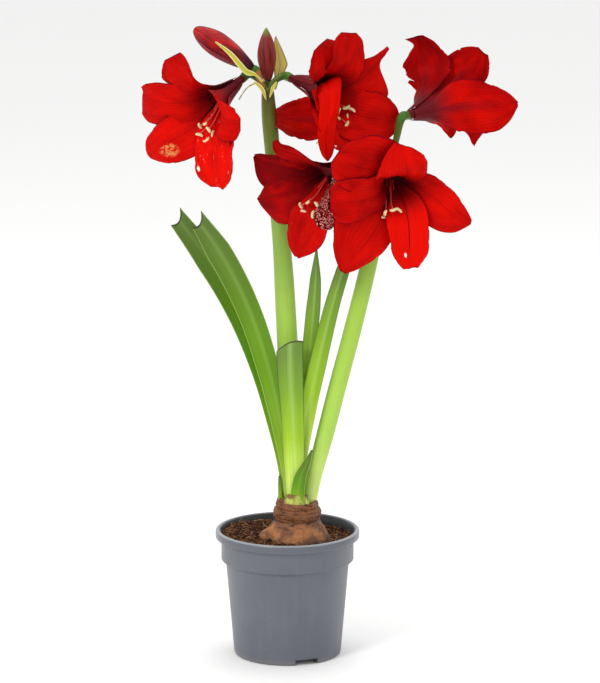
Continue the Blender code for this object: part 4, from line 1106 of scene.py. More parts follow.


# ---- strap leaves and bracts

# the band colour is a painted highlight down the middle of a leaf; the darkest green serves both its veins and painted
# shade towards its edges
leafLook = {
    "tip": (0.092, 0.158, 0.022), "upper": (0.085, 0.185, 0.003), "middle": (0.100, 0.280, 0.001),
    "low": (0.22, 0.42, 0.008), "foot": (0.60, 0.76, 0.12), "limeTip": (0.145, 0.255, 0.040),
    "limeUpper": (0.210, 0.385, 0.020), "lime": (0.36, 0.58, 0.018), "limeLow": (0.66, 0.86, 0.14),
    "limeFoot": (0.80, 0.93, 0.30), "margin": (0.34, 0.52, 0.12), "veinAndShade": (0.020, 0.060, 0.006),
    "cut": (0.045, 0.050, 0.020), "band": (0.36, 0.55, 0.16), "thickness": 1.8,
}
leaves = {
    # kind 0 keeps this leaf on the deepest greens, partly as painted shade
    "leaf_back_left": dict(
        path=((-1, -1, 131.5), (-2.5, 0, 170), (-11, 3, 214), (-24, 8, 262), (-44, 14, 312), (-70, 20, 357),
              (-102.5, 25, 400)),
        widths=(8, 12, 16, 19, 21.6, 23.2, 16.5), channel=3.0, hollow=5.5, slant=4, kind=0.0),
    # kind 0.2 also strengthens this leaf's painted highlight band
    "leaf_front_left": dict(
        path=((3, -4.2, 131.5), (0.5, -5, 170), (-6.5, -4.5, 214), (-17, -2, 262), (-33, 2, 312), (-54.6, 7, 357),
              (-83, 12, 400)),
        widths=(9, 11, 14.5, 18, 20.5, 21.6, 22.6, 23, 15), channel=3.0, hollow=5.5, slant=4, kind=0.2),
    "leaf_cut_front": dict(
        path=((7, -11.6, 131.5), (6.2, -13, 170), (5, -14, 214), (2.6, -15.5, 262), (2, -16, 294)),
        widths=(12, 16.5, 20, 23, 24), channel=2.4, rounding=3, slant=4.5, kind=1.0),
    "leaf_pointed": dict(
        path=((9, -1.5, 131.5), (12, -2, 180), (16, -2.5, 235), (20.5, -3, 290), (24.5, -3, 335), (26, -3, 371)),
        widths=(8, 10, 11.5, 12.5, 13, 13, 12.8, 9.8, 1.6), channel=1.6, kind=0.9),
    "leaf_right": dict(
        path=((7, -8, 131.5), (10.5, -8.5, 175), (18, -9, 225), (28.6, -9.5, 275), (40.6, -9.5, 325), (52.3, -9, 364),
              (57, -8, 385)),
        widths=(9, 12, 15, 15.5, 14, 12.2, 4), channel=2.2, kind=0.9),
    "leaf_curled": dict(
        path=((8.5, -15.2, 131.5), (9.5, -16.2, 152), (12.5, -19, 168), (18.5, -22, 182), (22, -25, 193)),
        widths=(11.5, 13, 12, 8, 2.4), channel=1.2, turn=50, kind=0.05),
    "leaf_stub": dict(
        path=((-6, -5, 131.5), (-6.6, -5.5, 148), (-7, -5.5, 165)), widths=(3.6, 3.4, 2.4), channel=0.7, kind=0.8),
}
bracts = {
    "bract_left_1": dict(
        path=((-21.5, 8, 519.6), (-29, 5.5, 526.8), (-35.2, 4, 528.7), (-42.2, 2.5, 536.2), (-50.8, 1.2, 546.3),
              (-63, -0.8, 556.1)),
        widths=(2.2, 2, 4.8, 5.2, 5, 4.4, 3, 1.2), channel=0.8, kind=0.0,
        # torn ends of the sheath that once held the buds
        flaps=(
            dict(path=((-29.5, 7, 519.4), (-25.5, 6.4, 517.2), (-21.6, 6, 512.6), (-18.6, 6.6, 504)),
                 widths=(1.4, 3.4, 3.6, 1),
                 channel=0.4, kind=0.25),
            dict(path=((-28.5, 9.5, 518), (-33, 9, 516), (-37.5, 9, 511.8), (-42.5, 9, 503.9)),
                 widths=(1.2, 0.9, 0.8, 0.6),
                 channel=0.1, kind=1.0),
        )),
    "bract_left_2": dict(
        path=((-11.3, 25, 511), (-9.3, 28.6, 520), (-6.6, 30.5, 531), (-8.2, 31, 543), (-10.3, 31, 557)),
        widths=(3, 5, 14, 9, 1.2), channel=1.0, kind=1.0,
        flaps=(dict(path=((-9.4, 8.6, 519.4), (-12.3, 7, 514.8), (-15.4, 6.6, 506)), widths=(1.4, 3.6, 1), channel=0.4,
                    kind=0.25),)),
    "bract_right_1": dict(
        path=((94.5, 5.7, 448), (101, 11, 441), (108, 12, 429), (112, 11, 414)), widths=(5, 8, 6, 1.4), channel=0.8,
        kind=0.6),
}


def strapTree():
    graph, given = newTree("strapShape",
                           floats=("length", "channel", "hollow", "rounding", "slant", "turn", "widest", "thickness",
                                   "wave", "seed", "kind"), integers=("rows", "columns"))
    curve = graph.add("GeometryNodeMeshToCurve", {}, {"Mesh": given["Geometry"]})
    grid, edge, share = graph.blade(given["columns"], given["rows"])
    place, full = endRows(graph, share, given["rows"])
    drawn = given["hollow"] * (1.0 - edge**2.0) + given["rounding"] * edge**2.0 + given["slant"] * (1.0 - edge)
    pulled = place - drawn / given["length"] * place**8.0
    width, spot = graph.sample(curve, place, "halfWidth"), graph.sample(curve, pulled)
    along = graph.unit(spot.other("Tangent"))
    sideways = graph.unit(graph.cross(along, (0.0, -1.0, 0.0)))
    face = graph.cross(sideways, along)
    turn = given["turn"] * place
    acrossWay, faceWay = graph.spin(sideways, face, turn)
    rise = given["channel"] * edge**2.0 * (width / given["widest"])
    wave = (graph.grain(edge * 0.8, place * 5.0, given["seed"], 1.0) - 0.5) * given["wave"]
    keel = graph.ridge(0.3, edge) * 0.35
    point = spot + acrossWay * (edge * width) + faceWay * (rise + wave * graph.size(edge) - keel)
    sheet = graph.move(grid, point)
    sheet = keep(graph, sheet, "marks", graph.arrow(given["kind"], given["seed"], 0.0))
    rounded = graph.root(graph.most(1.0 - edge**8.0, 0.0))
    thickness = given["thickness"] * (0.6 + 0.4 * (1.0 - edge**2.0)) * rounded * full
    return closeSheet(graph, sheet, thickness, (edge, place), given["finish"])


def leafFinish(look):
    material, graph, shader = newFinish("leafSkin", Specular_IOR_Level=0.22, Subsurface_Weight=0.06,
                                        Subsurface_Radius=(0.001, 0.003, 0.0005), Subsurface_Scale=0.5)
    across, place, outside = attribute(graph, "blade")
    kind, seed, _ = attribute(graph, "marks")
    veins = graph.grain(across * 17.0, place * 1.6, seed, 2.0)
    patch = graph.grain(across * 1.2, place * 5.0, seed, 3.0)
    height = place + (patch - 0.5) * 0.10 + (veins - 0.5) * 0.05
    deep = graph.colours(height, (0.0, look["foot"]), (0.2, look["low"]), (0.45, look["middle"]), (0.72, look["upper"]),
                         (0.95, look["tip"]))
    lime = graph.colours(height, (0.0, look["limeFoot"]), (0.2, look["limeLow"]), (0.42, look["lime"]),
                         (0.68, look["limeUpper"]), (0.93, look["limeTip"]))
    tone = graph.between(kind, deep, lime)
    tone = graph.between(graph.smooth(0.45, 0.7, veins) * 0.3, tone, graph.between(0.5, tone, look["veinAndShade"]))
    # painted shade, darker towards the leaf's edges and more on one side than the other
    tone = graph.between(graph.smooth(0.25, 0.8, graph.size(across + 0.25)) * 0.22, tone, look["veinAndShade"])
    # painted highlight: a pale band down the middle of the leaf, where its channel catches the light, stronger on lime
    # leaves
    band = graph.ridge(0.35, across)
    tone = graph.between(band * (0.1 + 0.3 * kind) * (1.0 - outside * 0.5), tone, look["band"])
    margin = graph.smooth(0.93, 0.985, graph.size(across))
    marginTone = graph.between(kind * graph.smooth(0.3, 0.6, place), look["margin"], look["veinAndShade"])
    tone = graph.between(margin * 0.7, tone, marginTone)
    cut = graph.smooth(0.988, 0.998, place)
    tone = graph.between(cut, tone, look["cut"])
    dress(graph, shader, tone, graph.ramp(patch, 0.3, 0.7, 0.30, 0.44) + cut * 0.4, (veins + patch * 0.3, 0.35, 0.0006))
    return material


bractLook = {"green": (0.58, 0.62, 0.05), "cream": (0.88, 0.78, 0.40), "paper": (0.78, 0.62, 0.16),
             "olive": (0.24, 0.26, 0.05), "brown": (0.30, 0.17, 0.07), "thickness": 1.0}


def bractFinish(look):
    material, graph, shader = newFinish("bractPaper", Specular_IOR_Level=0.3, Subsurface_Weight=0.1,
                                        Subsurface_Radius=(0.003, 0.003, 0.001), Subsurface_Scale=0.6)
    across, place, _ = attribute(graph, "blade")
    kind, seed, _ = attribute(graph, "marks")
    fibres = graph.grain(across * 12.0, place * 3.0, seed, 3.0)
    fresh = graph.between(graph.smooth(0.55, 0.95, graph.size(across)), look["green"], look["cream"])
    paper = graph.between(graph.smooth(0.6, 0.95, graph.size(across)), look["paper"], look["olive"])
    tone = graph.between(kind, fresh, paper)
    middle = graph.ridge(0.14, across)
    tone = graph.between(middle * 0.5, tone, look["olive"])
    tone = graph.between(graph.smooth(0.52, 0.75, fibres) * 0.25, tone, look["brown"])
    tone = graph.between(graph.smooth(0.9, 1.0, place) * kind * 0.7, tone, look["brown"])
    dress(graph, shader, tone, graph.ramp(fibres, 0.3, 0.7, 0.45, 0.7), (fibres, 0.6, 0.0005))
    return material


def buildStrap(name, blade, tree, finish, thickness, wave, rows=96, columns=19):
    points = smoothRoute(blade["path"], 90)
    widths = spread(blade["widths"], 90)
    length = np.linalg.norm(np.diff(points, axis=0), axis=1).sum()
    return [shapeBy(tree, name, {
        **blade, "length": length, "turn": math.radians(blade.get("turn", 0)), "widest": max(blade["widths"]) / 2,
        "thickness": thickness, "wave": wave, "seed": 1.7 * len(name) + blade["kind"], "rows": rows,
        "columns": columns, "finish": finish}, chain(name, points, halfWidth=widths / 2))]


strapShape = strapTree()
leafMaterial, bractMaterial = leafFinish(leafLook), bractFinish(bractLook)
for leafName, leaf in leaves.items():
    showPiece("blade_" + leafName, buildStrap(leafName, leaf, strapShape, leafMaterial, leafLook["thickness"], 1.2),
              "leaf", leafName)
for bractName, bract in bracts.items():
    bractMeshes = []
    for blade in (bract, *bract.get("flaps", ())):
        bractMeshes += buildStrap(bractName, blade, strapShape, bractMaterial, bractLook["thickness"], 1.0, 50, 15)
    showPiece("skin_" + bractName, bractMeshes, "bract", bractName)
print("seven leaves and three bracts")


# ---- the bulb: a turned body with lumps and ridges, torn bands round its neck, fresh scales inside it

bulbLook = {
    "middle": (8.5, 0.0), "footHeight": 42.0, "footRadius": 13.0, "wideHeight": 76.0, "wideRadius": 40.0,
    "neckStart": 124.0, "neckRadius": 20.2, "neckTop": 141.0, "neckInside": 18.4, "neckFloor": 131.0,
    # how far the neck draws in, and between which heights; a bump on the left shoulder: angle, height, size
    "drawnIn": 3.0, "drawnBetween": (129.0, 143.0), "bump": (3.5, 112.0, 8.5),
    # where tones begin and end, in metres: up the bulb, and to its right, where grey is a painted highlight
    "scaleTips": (0.1464, 0.1486), "rustBand": (0.120, 0.126), "cracked": (0.116, 0.122), "nearSoil": (0.113, 0.106),
    "greyHighlightSide": (0.018, 0.034),
    "tan": (0.42, 0.170, 0.058), "brown": (0.145, 0.052, 0.020), "dark": (0.020, 0.008, 0.005),
    "grey": (0.34, 0.22, 0.13), "rust": (0.175, 0.062, 0.024), "torn": (0.16, 0.025, 0.012),
    "fresh": (0.52, 0.56, 0.10), "wet": (0.20, 0.22, 0.03), "bandGrid": (170, 17),
    # angles in degrees from +X; heights, shift off the bulb, bulge, flare and tear of the upper edge in mm
    "bands": (
        (-190, 175, 125.0, 133.5, -0.6, 1.5, -0.2, 2.0), (-100, 262, 124.6, 129.5, -0.3, 0.9, 0.2, 2.4),
        (-215, 140, 129.0, 135.4, -0.5, 1.2, 0.2, 2.8), (-60, 290, 135.2, 141.2, -1.0, 1.7, -0.3, 3.0),
        (-130, 60, 136.6, 141.0, -0.9, 1.4, 0.3, 3.4), (-205, -128, 136.5, 145.0, -1.0, 1.4, -0.8, 5.0),
        (-212, -164, 137.0, 149.5, -2.6, 0.8, -1.4, 5.0), (-150, -96, 126.5, 135.0, 0.5, 1.0, 0.4, 3.4),
        (-30, 60, 127.0, 134.5, 0.2, 1.0, 0.3, 3.6),
    ),
    "scales": (
        (-138, -50, 135.0, 145.6, -1.2, 0.7, -0.2, 1.6), (-126, -52, 139.0, 149.6, -1.8, 0.5, -0.4, 3.6),
        (-100, 10, 130.5, 140.5, -3.4, 0.5, 0.4, 2.4), (10, 150, 130.5, 140.0, -4.5, 0.6, 0.3, 2.0),
        (60, 200, 130.5, 139.0, -7.0, 0.6, 0.3, 2.0),
    ),
}


def bulbSide(look):
    neck, inside, wide, foot = (look[name] for name in ("neckRadius", "neckInside", "wideRadius", "footRadius"))
    start, top, middle, bottom = (look[name] for name in ("neckStart", "neckTop", "wideHeight", "footHeight"))
    profile = [(0.0, look["neckFloor"]), (inside - 0.4, look["neckFloor"]), (inside, top), (neck, top), (neck, start)]
    for place in np.linspace(0.0, 1.0, 16)[1:]:
        profile.append((neck + (wide - neck) * math.sin(place * math.pi / 2) ** 1.1, start + (middle - start) * place))
    for place in np.linspace(0.0, 1.0, 12)[1:]:
        turn = place * math.pi / 2
        profile.append((foot + (wide - foot) * math.cos(turn), middle + (bottom - middle) * math.sin(turn)))
    return profile + [(0.0, bottom)]


# how far the neck draws in at a height, more at its sides than in front
def neckPull(graph, look, height, cos):
    return look["drawnIn"] * graph.smooth(*look["drawnBetween"], height) * (0.35 + graph.size(cos) * 0.65)


# a body turned round an upright line, from a chain of (radius, 0, height) points, with a rough skin; the skin's third
# value is kept for the finish, on the bulb as its crevices for painted shade
def turnedTree(name, skin):
    graph, given = newTree(name, floats=("middle", "slope", "topFrom", "lumps"), integers=("rows", "columns"))
    curve = graph.add("GeometryNodeMeshToCurve", {}, {"Mesh": given["Geometry"]})
    grid, aroundShare, share = graph.sheet(given["columns"], given["rows"])
    radius, _, height = graph.parts(graph.sample(curve, share))
    angle = aroundShare * (2 * math.pi)
    radius, height, tint = skin(graph, given, radius, height, angle)
    point = graph.arrow(given["middle"] + radius * graph.cosine(angle), radius * graph.sine(angle), height)
    body = graph.move(grid, point)
    body = keep(graph, body, "turned", graph.arrow(aroundShare, share, tint))
    return endTree(graph, joinUp(graph, body, turned=True), given["finish"])


def bulbSkin(graph, given, radius, height, angle):
    look = bulbLook
    cos, sin = graph.cosine(angle), graph.sine(angle)
    around = graph.arrow(cos * 2.0, sin * 2.0, height * 0.11)
    lumps = graph.noise(around, 1.0, 3.0, 0.55) - 0.5
    onNeck = graph.smooth(look["neckStart"] - 2.0, look["neckStart"] + 1.0, height)
    onSide = graph.smooth(12.0, 20.0, radius)
    wobble = graph.noise(graph.arrow(cos, sin, 2.0), 1.4, 2.0) * 5.0
    rings = graph.size(graph.sine((height + wobble) * (math.pi / 6.8)))
    # grooves between the neck's rings, sunk into the shape and passed on as painted shade
    creviceShade = (1.0 - graph.smooth(0.0, 0.35, rings)) * onNeck
    ridges = graph.grain(cos * 7.0, sin * 7.0, height * 0.03, 2.0) - 0.5
    fine = graph.grain(cos * 14.0, sin * 14.0, height * 0.7, 3.0) - 0.5
    moved = lumps * 2.0 - creviceShade * 1.3 + ridges * (1.0 - onNeck) * 3.2 + fine * (1.2 + onNeck * 1.2)
    moved = moved - neckPull(graph, look, height, cos)
    at, high, bulge = look["bump"]
    away = graph.length((angle - at) / 0.5, (height - high) / 11.0)
    moved = moved + graph.smooth(1.0, 0.0, away) * (bulge + fine * 5.0)
    return radius + moved * onSide, height + lumps * 0.6 * onSide, creviceShade


def barkFinish(name, look, fresh=False):
    material, graph, shader = newFinish(name, Specular_IOR_Level=0.4 if fresh else 0.3)
    where = graph.here()
    x, _, z = graph.parts(where)
    grain = graph.noise(graph.stretched(where, 1.0, 1.0, 0.3), 420.0, 4.0, 0.6)
    papery = graph.noise(graph.stretched(where, 0.4, 0.4, 1.6), 260.0, 3.0, 0.6)
    patch = graph.noise(where, 70.0, 3.0)
    if fresh:
        tone = graph.between(graph.smooth(0.35, 0.7, grain), look["fresh"], look["wet"])
        tone = graph.between(graph.smooth(*look["scaleTips"], z + (patch - 0.5) * 0.012) * 0.8, tone, look["torn"])
        rough = graph.ramp(grain, 0.3, 0.7, 0.22, 0.5)
    else:
        creviceShade = attribute(graph, "turned")[2]
        tone = graph.between(graph.smooth(0.36, 0.62, patch), look["brown"], look["tan"])
        tone = graph.between(graph.smooth(*look["rustBand"], z) * 0.75, tone, look["rust"])
        tone = graph.between(graph.smooth(0.60, 0.78, papery + (patch - 0.5) * 0.4) * 0.8, tone, look["tan"])
        # painted highlight: grey over the grain on the bulb's right side
        greyHighlight = graph.smooth(*look["greyHighlightSide"], x) * graph.smooth(0.45, 0.65, grain)
        tone = graph.between(greyHighlight * 0.8, tone, look["grey"])
        cracks = graph.smooth(0.48, 0.34, papery) * (graph.smooth(*look["cracked"], z) * 0.6 + 0.25)
        tone = graph.between(cracks, tone, look["dark"])
        tone = graph.between(graph.smooth(0.5, 0.3, grain) * 0.35, tone, look["brown"])
        # painted shade in the neck's grooves and along the lower edges of the bands
        tone = graph.between(creviceShade * 0.9, tone, look["dark"])
        # darker towards the soil, low on the bulb
        tone = graph.between(graph.smooth(*look["nearSoil"], z + (patch - 0.5) * 0.012) * 0.7, tone, look["dark"])
        rough = graph.ramp(patch, 0.35, 0.65, 0.42, 0.72)
    dress(graph, shader, tone, rough, (grain * 0.6 + papery * 0.8, 0.8, 0.0012))
    return material


# a torn band of dry skin round the bulb, from one angle to another
def bandTree(look):
    graph, given = newTree("bandShape", floats=("from", "to", "low", "high", "shift", "bulge", "flare", "tear", "rough",
                                                "thickness", "seed"))
    grid, aroundShare, share = graph.sheet(*look["bandGrid"])
    angle = given["from"] + (given["to"] - given["from"]) * aroundShare
    cos, sin = graph.cosine(angle), graph.sine(angle)
    tear = graph.grain(cos * 4.0, sin * 4.0, given["seed"], 4.0, 0.65) - 0.42
    dip = graph.grain(cos * 1.3, sin * 1.3, given["seed"] + 7.0, 2.0) - 0.5
    height = (given["low"] + (given["high"] - given["low"]) * share + given["tear"] * tear * share**2.0 * 1.6
              + dip * 2.4)
    rise = graph.least(graph.most((look["neckStart"] - height) / (look["neckStart"] - look["wideHeight"]), 0.0), 1.0)
    swell = look["wideRadius"] - look["neckRadius"]
    radius = look["neckRadius"] + swell * graph.sine(rise * (math.pi / 2)) ** 1.1
    ends = graph.smooth(0.0, 0.05, aroundShare) * graph.smooth(0.0, 0.05, 1.0 - aroundShare)
    rough = graph.grain(cos * 12.0, sin * 12.0, height * 0.7 + given["seed"], 3.0, 0.65) - 0.5
    radius = radius - neckPull(graph, look, height, cos)
    radius = (radius + given["shift"] + given["bulge"] * graph.sine(share * 2.7) * ends + given["flare"] * share**3.0
              + rough * given["rough"])
    point = graph.arrow(look["middle"][0] + cos * radius, sin * radius, height)
    sheet = graph.move(grid, point)
    # painted shade along the band's lower edge, where it lies on the bulb
    creviceShade = 1.0 - graph.smooth(0.0, 0.22, share)
    sheet = keep(graph, sheet, "turned", graph.arrow(aroundShare, share, creviceShade))
    near = graph.least(graph.least(share, 1.0 - share) * 8.0, graph.least(aroundShare, 1.0 - aroundShare) * 60.0)
    return closeSheet(graph, sheet, given["thickness"] * graph.least(near, 1.0), (aroundShare, share), given["finish"])


def buildBands(name, rows, tree, finish, thickness, rough):
    meshes = []
    for index, (start, end, low, high, shift, bulge, flare, tear) in enumerate(rows):
        meshes.append(shapeBy(tree, f"{name}_{index}", {
            "from": math.radians(start), "to": math.radians(end), "low": low, "high": high, "shift": shift,
            "bulge": bulge, "flare": flare, "tear": tear, "rough": rough, "thickness": thickness,
            "seed": 3.3 * index + len(name), "finish": finish}))
    return meshes


bulbMaterial, scaleMaterial = barkFinish("bulbSkin", bulbLook), barkFinish("freshScale", bulbLook, fresh=True)
bulbShape, bandShape = turnedTree("bulbShape", bulbSkin), bandTree(bulbLook)
bulbChain = chain("bulb", [(r, 0.0, z) for r, z in bulbSide(bulbLook)])
bulbBody = shapeBy(bulbShape, "bulbBody", {"middle": bulbLook["middle"][0], "rows": 150, "columns": 181,
                                           "finish": bulbMaterial}, bulbChain)
showPiece("bulb_body", [bulbBody, *buildBands("band", bulbLook["bands"], bandShape, bulbMaterial, 1.1, 2.8)],
          "bulb_skin", "bulb")
showPiece("bulb_scales", buildBands("scale", bulbLook["scales"], bandShape, scaleMaterial, 0.9, 0.8), "bulb_skin",
          "bulb")
print("the bulb, nine torn bands and five fresh scales")


# ---- soil: a lumpy body, with crumbs and fibres scattered on it

soilLook = {
    "top": 108.0, "slope": 4.0, "lumps": 4.4, "topRadius": 57.9, "lowRadius": 53.6, "floorRadius": 46.6, "floor": 7.3,
    "dark": (0.006, 0.003, 0.002), "brown": (0.050, 0.016, 0.007), "red": (0.170, 0.050, 0.018),
    "fibre": (0.30, 0.105, 0.032), "pale": (0.38, 0.23, 0.11), "seed": 7,
    # what lies on the soil: how many, sizes, distance kept from the bulb, how deep it sinks and how uneven it is, in mm
    "scatters": {
        "crumb": dict(count=2600, small=0.45, large=1.35, clear=24.0, sink=0.1, push=1.1),
        "clod": dict(count=220, small=1.2, large=2.5, clear=31.0, sink=0.5, push=1.1),
        "fibre": dict(count=420, small=4.5, large=11.0, clear=30.0, sink=-0.5, push=0.5),
    },
    # the flattest face and the height, in metres, that things lie on
    "upright": 0.35, "lowest": 0.095, "fibreRadius": 0.026, "fullTurn": 6.28,
}


def soilSkin(graph, given, radius, height, angle):
    x, y = radius * graph.cosine(angle), radius * graph.sine(angle)
    onTop = graph.smooth(given["topFrom"] - 1.0, given["topFrom"] - 0.2, height)
    lumps = graph.grain(x * 0.09, y * 0.09, 3.0, 4.0, 0.6) - 0.5
    small = graph.grain(x * 0.45, y * 0.45, 5.0, 3.0, 0.6) - 0.5
    rough = lumps * given["lumps"] + small * 2.2
    return radius, height + onTop * (rough - given["slope"] * x / 65.0), small


def soilFinish(name, look, pale=False):
    material, graph, shader = newFinish(name, Specular_IOR_Level=0.12)
    where = graph.here()
    crumb = graph.noise(where, 700.0, 4.0, 0.65)
    patch = graph.noise(where, 150.0, 3.0, 0.6)
    if pale:
        tone = graph.between(graph.smooth(0.4, 0.6, patch), look["fibre"], look["pale"])
        tone = graph.between(graph.smooth(0.45, 0.65, crumb) * 0.6, tone, look["red"])
    else:
        tone = graph.colours(crumb * 0.6 + patch * 0.5, (0.42, look["dark"]), (0.56, look["brown"]),
                             (0.70, look["red"]))
    dress(graph, shader, tone, graph.ramp(crumb, 0.3, 0.7, 0.6, 0.95), (crumb, 0.9, 0.0014))
    return material


# scatters lumps or fibres over the upper face of the soil, clear of the bulb
def scatterTree(kind, look):
    graph, given = newTree(kind + "Scatter", floats=("small", "large", "clear", "sink", "density"), integers=("seed",))
    normal = graph.parts(graph.add("GeometryNodeInputNormal"))[2]
    position = graph.add("GeometryNodeInputPosition")
    x, y, z = graph.parts(position)
    away = graph.length(x - bulbLook["middle"][0] * mm, y)
    wanted = (normal > look["upright"]) * (z > look["lowest"]) * (away > given["clear"] * mm)
    points = graph.add("GeometryNodeDistributePointsOnFaces", {"distribute_method": "RANDOM"},
                       {"Mesh": given["Geometry"], "Selection": wanted, "Density": given["density"],
                        "Seed": given["seed"]}, "Points")
    if kind == "fibre":
        spiral = graph.add("GeometryNodeCurvePrimitiveBezierSegment", {},
                           {"Resolution": 6, "Start": (-0.5, 0.0, 0.0), "Start Handle": (-0.2, 0.42, 0.18),
                            "End Handle": (0.15, -0.36, 0.22), "End": (0.5, 0.05, 0.03)}, "Curve")
        ring = graph.add("GeometryNodeCurvePrimitiveCircle", {}, {"Resolution": 4, "Radius": look["fibreRadius"]},
                         "Curve")
        lump = graph.add("GeometryNodeCurveToMesh", {}, {"Curve": spiral, "Profile Curve": ring, "Fill Caps": True})
    else:
        lump = graph.add("GeometryNodeMeshIcoSphere", {}, {"Radius": 1.0, "Subdivisions": 2 if kind == "clod" else 1},
                         "Mesh")

    def drawn(low, high):
        return graph.add("FunctionNodeRandomValue", {"data_type": "FLOAT_VECTOR" if isArrow(low) else "FLOAT"},
                         {"Min": low, "Max": high, "Seed": given["seed"]})

    if kind == "fibre":
        turn = drawn((-0.5, -0.5, 0.0), (0.5, 0.5, look["fullTurn"]))
    else:
        turn = drawn((0.0, 0.0, 0.0), (look["fullTurn"],) * 3)
    size, flat = drawn(given["small"], given["large"]), drawn((0.8, 0.8, 0.55), (1.3, 1.1, 1.0))
    turned = graph.add("FunctionNodeEulerToRotation", {}, {"Euler": turn})
    placed = graph.add("GeometryNodeInstanceOnPoints", {},
                       {"Points": points, "Instance": lump, "Rotation": turned, "Scale": flat * (size * mm)})
    real = graph.add("GeometryNodeRealizeInstances", {}, {"Geometry": placed})
    spot = graph.add("GeometryNodeInputPosition")
    push = graph.add("ShaderNodeTexNoise", {}, {"Vector": spot, "Scale": 620.0, "Detail": 1.0}, "Color")
    offset = (push - (0.5, 0.5, 0.5)) * (2.0 * look["scatters"][kind]["push"] * mm)
    real = graph.add("GeometryNodeSetPosition", {},
                     {"Geometry": real, "Offset": offset - graph.arrow(z=given["sink"] * mm)})
    real = graph.add("GeometryNodeSetShadeSmooth", {}, {"Geometry": real, "Shade Smooth": kind != "crumb"})
    return endTree(graph, real, given["finish"])


soilMaterial, fibreMaterial = soilFinish("soilCrumb", soilLook), soilFinish("soilFibre", soilLook, pale=True)
soilSide = [(0.0, soilLook["top"]), (soilLook["topRadius"], soilLook["top"]), (soilLook["topRadius"], 91.5),
            (soilLook["lowRadius"], 86.5), (soilLook["floorRadius"], soilLook["floor"]), (0.0, soilLook["floor"])]
soilBody = shapeBy(turnedTree("soilShape", soilSkin), "soilBody", {
    "middle": 0.0, "slope": soilLook["slope"], "topFrom": soilLook["top"], "lumps": soilLook["lumps"], "rows": 210,
    "columns": 181, "finish": soilMaterial}, chain("soil", [(r, 0.0, z) for r, z in soilSide]))
soilArea = math.pi * (soilLook["topRadius"] * mm) ** 2
soilMeshes = [soilBody.copy()]
for kind, pieces in soilLook["scatters"].items():
    soilMeshes.append(shapeBy(scatterTree(kind, soilLook), kind, {
        **pieces, "density": pieces["count"] / soilArea, "seed": soilLook["seed"],
        "finish": fibreMaterial if kind == "fibre" else soilMaterial}, soilBody.copy()))
showPiece("soil_top", soilMeshes, "soil", "soil")
print("soil with crumbs, clods and fibres")


# ---- the pot: a turned wall with a rolled lip, three notches and drain holes in its foot

potLook = {
    "rim": 65.0, "height": 115.0, "lipHeight": 7.0, "lipWidth": 4.3, "lipSheet": 1.6, "collar": 59.8,
    "collarBottom": 87.5, "bodyTop": 55.6, "base": 48.5, "wall": 1.6, "floor": 7.0, "corner": 2.5, "steps": 192,
    "notches": 3, "notchAngle": 21.5, "notchWidth": 22.0, "notchHeight": 5.4, "notchDepth": 24.0, "drainRadius": 3.0,
    "drainInset": 10.0, "drainDepth": 28.0, "cutterLength": 40.0, "sharpAngle": 40.0, "softEdge": 0.00022,
    "grey": (0.112, 0.120, 0.148), "light": (0.32, 0.335, 0.36), "dark": (0.080, 0.087, 0.108),
    "inner": (0.010, 0.011, 0.014), "dust": (0.25, 0.22, 0.19), "roughness": 0.42,
    # where tones begin and end, in metres: up the pot, and away from its middle; the lip, wall and lipInside zones hold
    # painted shade, the edge zone a painted highlight
    "zones": {"lip": ((0.1085, 0.1100), (0.0605, 0.0612)), "edge": ((0.1136, 0.1147), (0.0618, 0.0624)),
              "wall": ((0.100, 0.106), (0.0592, 0.0586)), "lipInside": ((0.1078, 0.1084), (0.0612, 0.0606))},
}


def potFinish(look):
    material, graph, shader = newFinish("potPlastic", Specular_IOR_Level=0.5)
    where = graph.here()
    x, y, z = graph.parts(where)
    cloud = graph.noise(where, 26.0, 3.0)
    grain = graph.noise(where, 1500.0, 2.0)
    streak = graph.noise(graph.stretched(where, 1.0, 1.0, 0.08), 130.0, 3.0)
    distance = graph.length(x, y)

    def zone(name):
        high, out = look["zones"][name]
        return graph.smooth(*high, z) * graph.smooth(*out, distance)

    tone = graph.between(graph.smooth(0.35, 0.7, cloud) * 0.35, look["grey"], look["dark"])
    tone = graph.between(graph.smooth(0.5, 0.75, streak) * 0.05, tone, look["light"])
    # painted shade on the lip's outer face
    lip = zone("lip")
    tone = graph.between(lip * 0.55, tone, look["dark"])
    # painted highlight: a light line along the top outer edge of the lip
    tone = graph.between(zone("edge") * 0.75, tone, look["light"])
    scuff = graph.smooth(0.64, 0.74, graph.noise(where, 190.0, 5.0, 0.7))
    tone = graph.between(scuff * 0.35, tone, look["light"])
    # painted shade on the pot's inner wall and under the inside of the lip
    inside = graph.most(zone("wall"), zone("lipInside") * graph.smooth(0.1148, 0.1140, z))
    tone = graph.between(inside * 0.95, tone, look["inner"])
    nearSoil = graph.smooth(0.55, 0.7, graph.noise(where, 330.0, 4.0)) * inside * graph.smooth(0.1135, 0.106, z)
    tone = graph.between(nearSoil * 0.8, tone, look["dust"])
    foot = graph.smooth(0.006, 0.0, z + (cloud - 0.5) * 0.006)
    tone = graph.between(foot * 0.35, tone, look["dust"])
    dress(graph, shader, tone, look["roughness"] - lip * 0.16 + (streak - 0.5) * 0.2 + scuff * 0.15,
          (grain * 0.5 + streak * 0.3 - scuff * 0.6, 0.25, 0.0003))
    return material


def insideOf(look, height):
    share = height / look["collarBottom"]
    return look["base"] + (look["bodyTop"] - look["base"]) * share - look["wall"]


